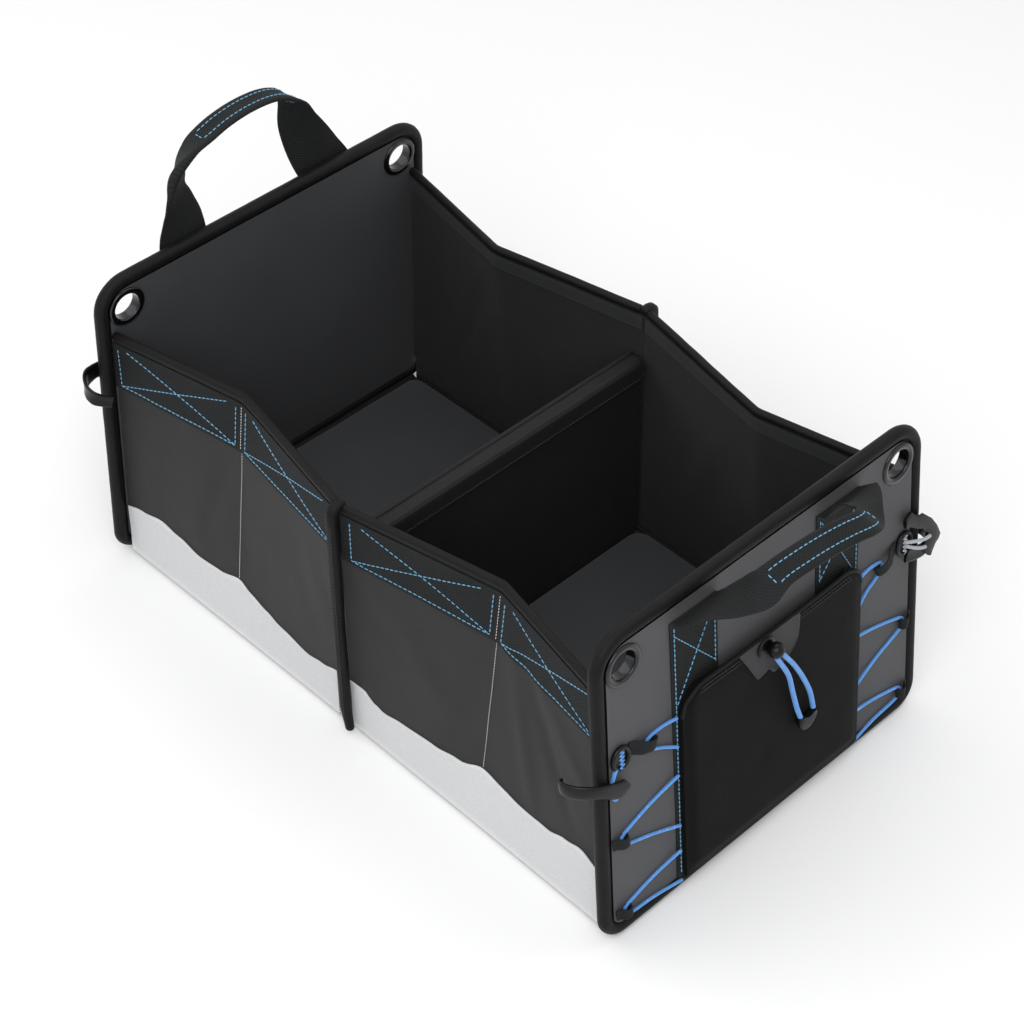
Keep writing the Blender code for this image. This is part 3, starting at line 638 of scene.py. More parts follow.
BLUE = {
    "box": Stitches("blue_stitching", "box", "blue_thread", "elastic"),
    "front_handle": Stitches("front_handle_stitching", "front_handle", "blue_thread", "elastic"),
    "back_handle": Stitches("back_handle_stitching", "back_handle", "blue_thread", "elastic"),
}
WHITE = Stitches("white_seam_stitching", "box", "white_thread", "silver_fabric")
DARK = Stitches("dark_stitching", "box", "dark_thread", "webbing")
HEM = Stitches("divider_hem_stitching", "divider", "dark_thread", "divider_fabric")


# Camera
def make_camera():
    ca, sa, ce, se = math.cos(CAM_AZ), math.sin(CAM_AZ), math.cos(CAM_EL), math.sin(CAM_EL)
    back = Vector((sa * ce, -ca * ce, se))
    right = (-back).cross(Vector((0, 0, 1))).normalized()
    up = right.cross(-back).normalized()
    cr, sr = math.cos(CAM_ROLL), math.sin(CAM_ROLL)
    right, up = right * cr + up * sr, up * cr - right * sr
    data = bpy.data.cameras.new("camera")
    data.lens, data.sensor_width = CAM_LENS, 36.0
    cam = link_new("camera", data)
    matrix = Matrix((right, up, back)).transposed().to_4x4()
    matrix.translation = back * CAM_BACK - right * CAM_RIGHT - up * CAM_UP
    cam.matrix_world = matrix
    bpy.context.scene.camera = cam


make_camera()


# The toggle's loop: two legs of elastic from under the ball to the cord end
def make_toggle():
    end = half_round_end()
    for side, route in (("near", LEG_NEAR), ("far", LEG_FAR)):
        path = catmull([on_panel("front", *p) for p in route], 6)
        leg = tube("toggle_leg_" + side, path, CORD_R, "elastic")
        place(leg, "box", "elastic", "toggle_loop_" + side)
        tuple(path[0])
        path_length(path)


def half_round_end():
    """The black end piece: half round, crowned on its face, notched between the legs."""
    near, far = Vector(LEG_NEAR[-1]), Vector(LEG_FAR[-1])
    across = Matrix.Rotation(CORD_END_TILT, 3, "X") @ (far - near).normalized()
    down = Vector((0, across.z, -across.y))
    middle = (near + far) / 2 + down * 0.0004
    low, high, uv = [], [], []
    for t in [r / 8 for r in range(9)]:
        row_l, row_h, row_uv = [], [], []
        for s in shares(16):
            a = math.pi / 2 * s
            edge = Vector((math.sin(a) * CORD_END_HALF_W, -math.cos(a) * CORD_END_H))
            notch = 0.0018 * smooth_share((0.45 - abs(s)) / 0.3)
            top = Vector((s * CORD_END_HALF_W, -notch))
            p = top.lerp(edge, t)
            crown = math.sqrt(max(0.0, 1 - max(abs(s) ** 4, t ** 4))) * 0.75 + 0.25
            base = middle + across * p.x - down * p.y
            out = CORD_END_T / 2 * crown
            row_l.append(on_panel("front", base.x - out, base.y, base.z))
            row_h.append(on_panel("front", base.x + out, base.y, base.z))
            row_uv.append((p.x, p.y))
        low.append(row_l)
        high.append(row_h)
        uv.append(row_uv)
    piece = weld(slab("toggle_end", low, high, uv, "plastic", 60))
    return place(piece, "box", "plastic", "toggle_cord_end")


make_toggle()


# Long walls
def panel_half_w(z):
    """Half width of an end panel, which narrows upwards."""
    return PANEL_HALF_W_BOTTOM + (PANEL_HALF_W_TOP - PANEL_HALF_W_BOTTOM) * z / PANEL_H


def wall_end_x(end, z):
    """Where a wall's cloth meets the leaning panel."""
    standoff = BINDING_R + 0.0003 if z <= PANEL_BOTTOM_R else PANEL_T / 2 + 0.0003
    return HALF_LENGTH - z * math.tan(LEAN[end]) - standoff / math.cos(LEAN[end])


# Soft folds pressed into the walls: start and end as (x, z), width and how far they stand out
FOLDS = {
    "near": [
        ((0.176, 0.215), (0.218, 0.070), 0.009, 0.0022),
        ((0.196, 0.212), (0.268, 0.085), 0.008, -0.0020),
        ((0.215, 0.205), (0.290, 0.130), 0.010, 0.0018),
        ((-0.170, 0.190), (-0.205, 0.090), 0.010, -0.0018),
        ((-0.250, 0.200), (-0.285, 0.080), 0.014, 0.0014),
        ((-0.060, 0.190), (-0.030, 0.090), 0.013, 0.0012),
        ((0.040, 0.180), (0.110, 0.100), 0.016, 0.0012),
        ((0.150, 0.150), (0.120, 0.060), 0.012, -0.0012),
    ],
    "far": [
        ((0.180, 0.215), (0.240, 0.060), 0.012, 0.0020),
        ((0.110, 0.200), (0.060, 0.080), 0.014, -0.0016),
        ((-0.180, 0.205), (-0.240, 0.070), 0.012, 0.0018),
        ((-0.120, 0.200), (-0.060, 0.070), 0.015, -0.0014),
    ],
}


def fold_height(side, x, z):
    """How far the folds and the cloth's own unevenness stand out."""
    total = 0.0
    for (x0, z0), (x1, z1), width, height in FOLDS[side]:
        dx, dz = x1 - x0, z1 - z0
        t = ((x - x0) * dx + (z - z0) * dz) / (dx * dx + dz * dz)
        near = max(0.0, min(1.0, t))
        away = math.hypot(x - x0 - near * dx, z - z0 - near * dz) / width
        total += height * math.exp(-away * away) * math.sin(math.pi * (0.15 + 0.7 * near))
    seed = 3.0 if side == "near" else 9.0
    total += 0.0009 * noise.noise(Vector((x * 17, z * 9, seed)))
    total += 0.0004 * noise.noise(Vector((x * 45, z * 26, seed + 5)))
    return total


def wall_y(side, x, z, depth):
    """Half width of the box at the wall's cloth, folded in at the crease."""
    end = "front" if x > 0 else "back"
    ax = abs(x)
    stop = wall_end_x(end, z)
    end_y = panel_half_w(z) - 2 * BINDING_R - WALL_SEAM
    left, right = ax / CREASE_X, (stop - ax) / (stop - CREASE_X)
    soft = 0.018
    fold = -soft * math.log(math.exp(-left / soft) + math.exp(-right / soft))
    y = WALL_HALF_W + (end_y - WALL_HALF_W) * ax / stop - CREASE_IN * max(0.0, fold) * z / WALL_H
    free = smooth_share(z / 0.05) * smooth_share((stop - ax) / 0.02) * smooth_share(ax / 0.02)
    free *= 1 - 0.6 * smooth_share((z - 0.19) / 0.05)
    return y + fold_height(side, x, z) * free + depth


def on_wall(side, x, z, depth=0.0):
    sign = -1 if side == "near" else 1
    return Vector((x, sign * wall_y(side, x, z, depth), z))


def half_columns(end, z, start, count=64):
    """Places in x along a half wall."""
    stop = wall_end_x(end, z)
    sign = 1 if end == "front" else -1
    return [sign * (start + (stop - start) * i / count) for i in range(count + 1)]


def wall_sheet(name, side, end, levels, start, depths, mat):
    """Cloth along a half wall, between two depths from its outer face."""
    low, high, uv = [], [], []
    for z in levels:
        xs = half_columns(end, z, start)
        low.append([on_wall(side, x, z, depths[0]) for x in xs])
        high.append([on_wall(side, x, z, depths[1]) for x in xs])
        uv.append([(x, z) for x in xs])
    return slab(name, low, high, uv, mat)


def make_walls():
    corner = [0.0, 0.008, 0.016, PANEL_BOTTOM_R]
    levels = corner + levels_between(PANEL_BOTTOM_R + 0.003, WALL_H, 0.005)
    for side in ("near", "far"):
        for end, word in (("back", "rear"), ("front", "front")):
            name = f"{side}_{word}"
            cloth = wall_sheet(name + "_wall_cloth", side, end, levels, 0.0002, (-WALL_T, 0.0), "wall")
            place(cloth, "box", "wall_fabric", name + "_wall")
            make_top_webbing(side, end, word)
            make_top_binding(side, end, word)
            make_crease_seam(side, end)
        make_band(side)
        make_rib(side)


def make_top_webbing(side, end, word):
    """Wide webbing sewn flat along the wall's top, and the hem's narrow strip inside."""
    name = f"{side}_{word}"
    top = WALL_H - 0.002
    low = top - TOP_WEBBING_H
    depths = (0.0004, 0.0019)
    levels = levels_between(low, top, 0.005)
    sheet = wall_sheet(name + "_top_band", side, end, levels, 0.002, depths, "webbing")
    place(sheet, "box", "webbing", name + "_top_webbing")
    inside = (-WALL_T - 0.0011, -WALL_T - 0.0002)
    levels = levels_between(top - INNER_HEM_H, top, 0.004)
    hem = wall_sheet(name + "_inner_hem", side, end, levels, 0.002, inside, "hem")
    place(hem, "box", "wall_fabric")
    sew_boxes(side, end, low, top, depths[1] + 0.0002)


def sew_boxes(side, end, low, top, raised):
    """A box with a cross in it on each side of the crease."""
    sign = 1 if end == "front" else -1
    foot, head = low + 0.004, top - 0.004
    stop = wall_end_x(end, low) - 0.008
    for x0, x1 in ((0.012, CREASE_X - 0.0065), (CREASE_X + 0.0065, stop)):
        lean = (x1 - x0) * 0.07
        lines = [
            [(x0, head), (x0, foot), (x1, foot), (x1, head)],
            [(x0, foot), (x1 - lean, head)],
            [(x0 + lean, head), (x1, foot)],
        ]
        for line in lines:
            path = divide([Vector((sign * x, 0, z)) for x, z in line], 0.004)
            BLUE["box"].run([on_wall(side, p.x, p.z, raised) for p in path])


def make_top_binding(side, end, word):
    """Tape folded over the wall's top edge."""
    sign = 1 if end == "front" else -1
    y_sign = -1 if side == "near" else 1
    start = 0.0062
    stop = wall_end_x(end, WALL_H + TAPE_R) - 0.0016
    path = []
    for i in range(61):
        x = sign * (start + (stop - start) * i / 60)
        y = wall_y(side, x, WALL_H, -WALL_T / 2 + 0.0003)
        lump = 0.0002 * noise.noise(Vector((x * 60, y_sign, 2)))
        path.append((x, y_sign * y, WALL_H + TAPE_R + lump))
    binding = tube(f"{side}_{word}_edge_tape", path, TAPE_R, "binding", flat=0.9, up=(0, 0, 1))
    place(binding, "box", "binding", f"{side}_{word}_top_binding")


def make_crease_seam(side, end):
    """A close pale seam down the crease: on the wall's cloth, then on its webbing."""
    x = CREASE_X if end == "front" else -CREASE_X
    low = WALL_H - TOP_WEBBING_H
    for depth, foot, head in ((0.0004, band_top(x) + 0.001, low - 0.003), (0.0023, low, WALL_H - 0.003)):
        path = [on_wall(side, x, z, depth) for z in levels_between(foot, head, 0.004)]
        WHITE.run(path, *CREASE_STITCH)


# The silver band's top edge as (x, height)
BAND_TOP = [
    (-0.318, 0.0560), (-0.290, 0.0620), (-0.264, 0.0665), (-0.240, 0.0623), (-0.211, 0.0565),
    (-0.183, 0.0575), (-0.158, 0.0628), (-0.141, 0.0573), (-0.119, 0.0528), (-0.098, 0.0488),
    (-0.060, 0.0440), (-0.039, 0.0478), (-0.018, 0.0545), (0.006, 0.0575), (0.017, 0.0580),
    (0.030, 0.0500), (0.041, 0.0464), (0.061, 0.0497), (0.104, 0.0526), (0.132, 0.0568),
    (0.158, 0.0660), (0.183, 0.0623), (0.205, 0.0598), (0.238, 0.0607), (0.259, 0.0669),
    (0.277, 0.0715), (0.300, 0.0635), (0.318, 0.0610),
]


def band_top(x):
    return lerp_table(BAND_TOP, x)


def make_band(side):
    """The light reflective cloth round the wall's foot, its top edge wavy as it was cut."""
    low, high, uv = [], [], []
    shoulder = PANEL_BOTTOM_R + 0.003
    for z in (0.002, 0.010, 0.018, PANEL_BOTTOM_R, *[None] * 9):
        ends_at = PANEL_BOTTOM_R if z is None else z
        xs = half_columns("back", ends_at, 0.0)[:0:-1] + half_columns("front", ends_at, 0.0)
        row_l, row_h, row_uv = [], [], []
        for x in xs:
            level = z
            if z is None:
                level = shoulder + (band_top(x) - shoulder) * (len(low) - 4) / 8
            stop = wall_end_x("front" if x > 0 else "back", level)
            x = max(-stop, min(stop, x))
            row_l.append(on_wall(side, x, level, 0.0004))
            row_h.append(on_wall(side, x, level, 0.0013))
            row_uv.append((x, level))
        low.append(row_l)
        high.append(row_h)
        uv.append(row_uv)
    band = slab(side + "_silver_band", low, high, uv, "silver")
    place(band, "box", "silver_fabric", side + "_lower_band")


def make_rib(side):
    """The bound seam at the wall's middle; its tape turns over the top edge."""
    sign = -1 if side == "near" else 1
    out = WALL_HALF_W + 0.0078
    top = WALL_H + 0.0058
    path = []
    for z in levels_between(0.0055, top - 0.008, 0.006):
        x = 0.0006 * math.sin(z * 40) + 0.004 * (1 - smooth_share(z / 0.03))
        path.append((x, sign * out, z))
    for back, down in ((0.0008, 0.003), (0.003, 0.0008), (0.006, 0), (0.0085, 0), (0.0105, 0)):
        path.append((0, sign * (out - back), top - down))

    def girth(t):
        return RIB_R * (0.78 + 0.22 * smooth_share(t / 0.12)) * (1 + 0.03 * math.sin(t * 23))

    rib = tube(side + "_middle_rib", path, girth, "binding", 14, flat=0.92, up=(1, 0, 0))
    place(rib, "box", "binding", side + "_rib_binding")
    for x in (-0.0024, 0.0024):
        path = [(x, sign * (out + 0.0047), z) for z in levels_between(0.02, top - 0.014, 0.005)]
        DARK.run(path, *RIB_STITCH)


make_walls()


# End panels
def outline_points(inset, steps=10):
    """The panel's outline as (y, z), moved in from its outer edge."""
    low, high = inset, PANEL_H - inset
    corners = [
        (-panel_half_w(low) + inset, low), (panel_half_w(low) - inset, low),
        (panel_half_w(high) - inset, high), (-panel_half_w(high) + inset, high),
    ]
    radii = [PANEL_BOTTOM_R - inset] * 2 + [PANEL_TOP_R - inset] * 2
    points = []
    for i, radius in enumerate(radii):
        corner = Vector(corners[i])
        before = (Vector(corners[i - 1]) - corner).normalized()
        after = (Vector(corners[(i + 1) % 4]) - corner).normalized()
        half = before.angle(after) / 2
        centre = corner + (before + after).normalized() * radius / math.sin(half)
        first = corner + before * radius / math.tan(half) - centre
        turn = math.pi - 2 * half
        for k in range(steps + 1):
            a = turn * k / steps
            x = first.x * math.cos(a) - first.y * math.sin(a)
            y = first.x * math.sin(a) + first.y * math.cos(a)
            points.append((centre.x + x, centre.y + y))
    return points


def outline_loop(end, inset, step):
    """A closed line of short steps round a panel's middle plane."""
    corners = outline_points(inset)
    path = divide([Vector((0, y, z)) for y, z in corners + corners[:1]], step)[:-1]
    return [on_panel(end, 0, p.y, p.z) for p in path]


def panel_piping(end):
    """Thick piping round the panel, tape drawn over a cord with small bumps, and its sewn inner edge."""
    path = outline_loop(end, BINDING_R, 0.006)
    bumps = len(path) * 0.35
    seed = 4 if end == "front" else 8

    def radius(t):
        return PIPING_R * (1 + 0.025 * noise.noise(Vector((t * bumps, seed, 0))))

    piping = tube(end + "_piping", path, radius, "binding", 16, closed=True, up=(1, 0, 0))
    place(piping, "box", "binding", end + "_panel_binding")
    path = outline_loop(end, 2 * BINDING_R - 0.0004, 0.008)
    seam = tube(end + "_piping_seam", path, PIPING_SEAM_R, "binding", 10, closed=True, up=(1, 0, 0))
    place(seam, "box", "binding")


def cut_up(bm, origins, normal):
    """Cuts a mesh along parallel planes, so that its faces are small enough to bend."""
    for origin in origins:
        geometry = bm.verts[:] + bm.edges[:] + bm.faces[:]
        bmesh.ops.bisect_plane(bm, geom=geometry, plane_co=origin, plane_no=normal, dist=1e-6)


def panel_board(end):
    """The stiff panel under its cloth: a little crowned between the piping, drawn in at the eyelets."""
    bm = bmesh.new()
    bm.from_mesh(NODES[end + "_panel"].data)
    up = (on_panel(end, 0, 0, 1) - on_panel(end, 0, 0, 0)).normalized()
    out = (on_panel(end, 1, 0, 0) - on_panel(end, 0, 0, 0)).normalized()
    cut_up(bm, [Vector((0, y / 1000, 0)) for y in range(-180, 181, 12)], Vector((0, 1, 0)))
    cut_up(bm, [on_panel(end, 0, 0, z / 1000) for z in range(16, 310, 12)], up)
    foot = on_panel(end, 0, 0, 0)
    for v in bm.verts:
        away = v.co - foot
        u, y, z = away.dot(out), v.co.y, away.dot(up)
        rim = min(z - 0.013, PANEL_H - 0.013 - z, panel_half_w(z) - 0.013 - abs(y))
        crown = 0.0007 * smooth_share(rim / 0.05) + 0.0003 * noise.noise(Vector((y * 20, z * 20, 7)))
        hole = math.hypot(abs(y) - (panel_half_w(PANEL_H - GROMMET_DOWN) - GROMMET_IN),
                          z - (PANEL_H - GROMMET_DOWN))
        crown *= smooth_share((hole - 0.018) / 0.02)
        v.co += out * crown * (1 if u > 0 else -1)
    board = finish_copy(bm, end + "_panel_cloth", ["panel_out", "panel_in_shaded", "binding"],
                        lambda p: (p.y, (p - foot).dot(up)), 35)
    # Inner faces take the darker copy of the cloth, which paints the shade inside the box
    for face in board.data.polygons:
        turn = face.normal.dot(out)
        face.material_index = 0 if turn > 0.5 else (1 if turn < -0.5 else 2)
    place(board, "box", "panel_fabric", end + "_panel")


def finish_copy(bm, name, mats, uv, sharp):
    """An object from a copy of a CAD mesh, with its materials and a UV in metres."""
    mesh = bpy.data.meshes.new(name)
    bm.to_mesh(mesh)
    bm.free()
    mesh.materials.clear()
    for mat in mats:
        mesh.materials.append(MATS[mat])
    layer = mesh.uv_layers.new(name="UVMap") if not mesh.uv_layers else mesh.uv_layers[0]
    for loop in mesh.loops:
        layer.data[loop.index].uv = uv(mesh.vertices[loop.vertex_index].co)
    for face in mesh.polygons:
        face.use_smooth = True
    mesh.set_sharp_from_angle(angle=math.radians(sharp))
    return link_new(name, mesh)


def grommet(end, side):
    """A rolled eyelet: a domed rim on each face and a straight throat."""
    z = PANEL_H - GROMMET_DOWN
    y = (panel_half_w(z) - GROMMET_IN) * (-1 if side == "near" else 1)
    inner = PANEL_T / 2 + 0.0009
    mid, reach = (GROMMET_HOLE_R + GROMMET_FLANGE_R) / 2, (GROMMET_FLANGE_R - GROMMET_HOLE_R) / 2
    profile = []
    for i in range(13):
        a = math.pi * i / 12
        profile.append((mid + reach * math.cos(a), inner + 0.0016 * math.sin(a) - 0.0004))
    profile += [(r, -h) for r, h in reversed(profile)]
    ring = lathe(f"{end}_{side}_eyelet", profile, 48, "eyelet", panel_matrix(end, 0, y, z))
    place(ring, "box", "eyelet", f"{end}_{side}_grommet")


def panel_strip(end, side):
    """Webbing down the panel's outer face, box and cross stitched under the handle's foot."""
    sign = -1 if side == "near" else 1
    middle = sign * STRIP_Y
    low, high, uv = [], [], []
    rows = levels_between(0.0136, HANDLE_HINGE_Z - 0.0005, 0.006)
    for z in rows:
        ys = [middle + WEBBING_W * (j / 10 - 0.5) for j in range(11)]
        lift = [0.0002 * noise.noise(Vector((y * 50, z * 30, 3))) for y in ys]
        thin = [0.0004 if j in (0, 10) else 0.0 for j in range(11)]
        low.append([on_panel(end, 0.0045, y, z) for y in ys])
        high.append([on_panel(end, STRIP_OUT + a - t, y, z) for y, a, t in zip(ys, lift, thin)])
        uv.append([(y, z) for y in ys])
    strip = slab(f"{end}_{side}_webbing", low, high, uv, "webbing", 70)
    place(strip, "box", "webbing", f"{end}_{side}_strip")
    edge = WEBBING_W / 2 - 0.0035
    u = STRIP_OUT + 0.0003
    y_out, y_in = middle + sign * edge, middle - sign * edge
    top, foot = HANDLE_HINGE_Z - 0.004, 0.205
    lines = [
        [(y_out, top), (y_out, 0.017)],
        [(y_in, top), (y_in, 0.222 if end == "front" else 0.017)],
        [(y_out, foot), (y_in, top - 0.002)],
        [(y_in, foot if end == "back" else 0.226), (y_out, top - 0.010)],
        [(y_out, top), (y_in, top)],
    ]
    for line in lines:
        path = divide([Vector((0, y, z)) for y, z in line], 0.006)
        BLUE["box"].run([on_panel(end, u, p.y, p.z) for p in path])


def make_panels():
    for end in ("front", "back"):
        panel_piping(end)
        panel_board(end)
        for side in ("near", "far"):
            grommet(end, side)
            panel_strip(end, side)


make_panels()


# Handles
def strap_rows(stations, steps=8):
    """Rows along a strap: its middle, the way across, the way out, width and thickness."""
    padded = [stations[0]] + stations + [stations[-1]]

    def between(j, i, t):
        return spline_point(*[Vector(s[j]) if j < 2 else s[j] for s in padded[i:i + 4]], t)

    raw = []
    for i in range(len(stations) - 1):
        for k in range(steps + (i == len(stations) - 2)):
            raw.append([between(j, i, k / steps) for j in range(4)])
    rows = []
    for i, (middle, across, width, thick) in enumerate(raw):
        ahead = (raw[min(i + 1, len(raw) - 1)][0] - raw[max(i - 1, 0)][0]).normalized()
        across = across.normalized()
        across = (across - ahead * across.dot(ahead)).normalized()
        rows.append((middle, across, ahead.cross(across).normalized(), width, thick))
    return rows


def on_strap(row, w, h):
    """A point on a strap's row: w across in shares of its width, h out in shares of its thickness."""
    middle, across, normal, width, thick = row
    return middle + across * width * w + normal * thick * h


def strap(name, rows, mat, curl=0.0):
    """A flat strap along rows, thinner at its edges; curl bows it across its width."""
    places = [j / 12 - 0.5 for j in range(13)]
    edge = [0.5 if abs(w) < 0.45 else 0.28 for w in places]
    bow = [curl * (4 * w * w - 0.33) for w in places]
    low, high, uv = [], [], []
    along = 0.0
    for i, row in enumerate(rows):
        if i:
            along += (row[0] - rows[i - 1][0]).length
        low.append([on_strap(row, w, -e) + row[2] * b for w, e, b in zip(places, edge, bow)])
        high.append([on_strap(row, w, e) + row[2] * b for w, e, b in zip(places, edge, bow)])
        uv.append([(w * row[3], along) for w in places])
    return slab(name, low, high, uv, mat, 75)


def handle_rows(end, shape):
    """A handle's rows from foot to foot."""
    stations = []
    for (out, y, up), (a_out, a_y, a_up), width, thick in shape:
        middle = on_panel(end, HANDLE_HINGE_X + out, y, HANDLE_HINGE_Z + up)
        tip = on_panel(end, HANDLE_HINGE_X + out + a_out, y + a_y, HANDLE_HINGE_Z + up + a_up)
        stations.append((middle, tip - middle, width, thick))
    return strap_rows(stations)


# A handle's stations: out, across and up from its hinge, the way across it, its width and thickness
W, T = WEBBING_W, WEBBING_T
BACK_HANDLE = [
    ((0.0004, -0.0840, 0.0012), (0, 1, 0), W, T),
    ((0.0004, -0.0845, 0.0160), (0, 1, 0), W, T),
    ((0.003, -0.0830, 0.0340), (0.1, 1, 0), 0.93 * W, T),
    ((0.005, -0.0832, 0.0500), (0.28, 0.95, 0), 0.83 * W, T),
    ((0.006, -0.0838, 0.0660), (0.48, 0.86, 0), 0.70 * W, 2.2 * T),
    ((0.007, -0.0800, 0.0845), (0.62, 0.75, -0.2), 0.58 * W, 4.8 * T),
    ((0.008, -0.0645, 0.1015), (0.9, 0.35, -0.2), 0.54 * W, 3.0 * T),
    ((0.008, -0.0460, 0.1100), (0.97, 0, -0.12), GRIP_W, GRIP_T),
    ((0.008, -0.0270, 0.1155), (0.97, 0, -0.12), GRIP_W, GRIP_T),
    ((0.008, -0.0030, 0.1180), (0.97, 0, -0.12), GRIP_W, GRIP_T),
    ((0.008, 0.0220, 0.1158), (0.97, 0, -0.12), GRIP_W, GRIP_T),
    ((0.008, 0.0410, 0.1075), (0.97, 0, -0.12), GRIP_W, GRIP_T),
    ((0.0075, 0.0500, 0.0945), (0.8, -0.55, 0), 0.54 * W, 1.6 * T),
    ((0.006, 0.0545, 0.0720), (0.4, -0.9, 0), 0.72 * W, 1.2 * T),
    ((0.004, 0.0640, 0.0470), (0.15, -1, 0), 0.90 * W, T),
    ((0.002, 0.0735, 0.0260), (0, -1, 0), W, T),
    ((0.0004, 0.0840, 0.0080), (0, -1, 0), W, T),
    ((0.0004, 0.0840, 0.0012), (0, -1, 0), W, T),
]
FRONT_HANDLE = [
    ((0.000, -0.0840, 0.0000), (0, 1, 0), W, T),
    ((0.009, -0.0830, 0.0055), (-0.04, 1, 0.05), 0.97 * W, T),
    ((0.021, -0.0775, 0.0140), (-0.25, 1, 0.1), 0.76 * W, T),
    ((0.034, -0.0695, 0.0215), (-0.85, 0.4, 0.15), 0.60 * W, 1.3 * T),
    ((0.045, -0.0585, 0.0300), (-0.95, -0.15, 0.3), 0.58 * W, 1.4 * T),
    ((0.0490, -0.0450, 0.0385), (-0.93, 0, 0.35), 0.96 * GRIP_W, GRIP_T),
    ((0.0520, -0.0240, 0.0415), (-0.93, 0, 0.35), 0.94 * GRIP_W, GRIP_T),
    ((0.0545, 0.0000, 0.0420), (-0.93, 0, 0.35), 0.94 * GRIP_W, GRIP_T),
    ((0.0565, 0.0240, 0.0400), (-0.93, 0, 0.35), 0.94 * GRIP_W, GRIP_T),
    ((0.0570, 0.0450, 0.0355), (-0.93, 0, 0.35), 0.96 * GRIP_W, GRIP_T),
    ((0.049, 0.0590, 0.0290), (-0.85, -0.30, 0.5), 0.52 * W, 1.4 * T),
    ((0.034, 0.0690, 0.0260), (-0.5, -0.85, 0.2), 0.62 * W, 1.2 * T),
    ((0.0185, 0.0790, 0.0160), (-0.06, -1, 0.0), 0.85 * W, T),
    ((0.008, 0.0840, 0.0060), (0, -1, 0), W, T),
    ((0.000, 0.0840, 0.0000), (0, -1, 0), W, T),
]


def make_handle(end, shape):
    """The webbing loop, and two rows of stitches on both faces of its folded grip."""
    body = end + "_handle"
    rows = handle_rows(end, shape)
    obj = strap(body + "_webbing", rows, "webbing", 0.0006)
    place(obj, body, "webbing", body)
    grip = [i for i, row in enumerate(rows) if row[3] < GRIP_W * 1.02]
    first, last = grip[0] - 1, grip[-1] + 1
    for face in (0.56, -0.56):
        edges = []
        for w in (-0.25, 0.25):
            edges.append([on_strap(rows[i], w, face) for i in range(first, last + 1)])
            BLUE[body].run(edges[-1])
        for i in (0, -1):
            BLUE[body].run([edges[0][i].lerp(edges[1][i], t) for t in (0, 0.5, 1)])


make_handle("front", FRONT_HANDLE)
make_handle("back", BACK_HANDLE)


# Floor and divider
def dressed_copy(node, name, mat, slot, body, cuts, uv, move=None):
    """A finer copy of a CAD piece with its cloth's shape on it."""
    bm = bmesh.new()
    bm.from_mesh(NODES[node].data)
    for origins, normal in cuts:
        cut_up(bm, origins, normal)
    if move:
        for v in bm.verts:
            v.co += move(v.co)
    return place(finish_copy(bm, name, [mat], uv, 40), body, slot, node)


def planes(axis, low, high, step):
    """Cutting planes across an axis: their origins and their normal."""
    normal = Vector([1 if i == axis else 0 for i in range(3)])
    return [normal * v for v in levels_between(low, high, step)], normal


def make_floor():
    def lie(p):
        return Vector((0, 0, 0.0003 * noise.noise(Vector((p.x * 12, p.y * 12, 5)))))

    for word, low, high in (("rear", -0.30, -0.01), ("front", 0.01, 0.30)):
        cuts = [planes(0, low, high, 0.02), planes(1, -0.17, 0.17, 0.02)]
        dressed_copy("base_board_" + word, word + "_board", "board", "board_fabric", "box", cuts,
                     lambda p: (p.x, p.y), lie)
    cuts = [planes(0, -0.30, 0.30, 0.04), planes(1, -0.17, 0.17, 0.04)]
    bottom = dressed_copy("bottom_fabric", "bottom_cloth", "wall", "wall_fabric", "box", cuts,
                          lambda p: (p.x, p.y))
    low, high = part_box("bottom_fabric")


def make_floor_seams():
    """The seam round the bottom, inside, at the foot of each panel and each wall."""
    seams = {}
    for end in ("front", "back"):
        ys = levels_between(-0.172, 0.172, 0.008)
        seams[end] = [on_panel(end, -0.0098 + 0.0003 * math.sin(y * 70), y, 0.0068) for y in ys]
    for side, sign in (("near", -1), ("far", 1)):
        xs = levels_between(-0.304, 0.304, 0.006)
        seams[side] = [(x, sign * (wall_y(side, x, 0.006, 0) - WALL_T - 0.0024), 0.0062) for x in xs]
    # The seams use the divider's near-black cloth, so they carry its painted shade
    for word, path in seams.items():
        seam = tube(word + "_floor_seam", path, FLOOR_SEAM_R, "divider", 10, up=(0, 0, 1))
        place(seam, "box", "divider_fabric")


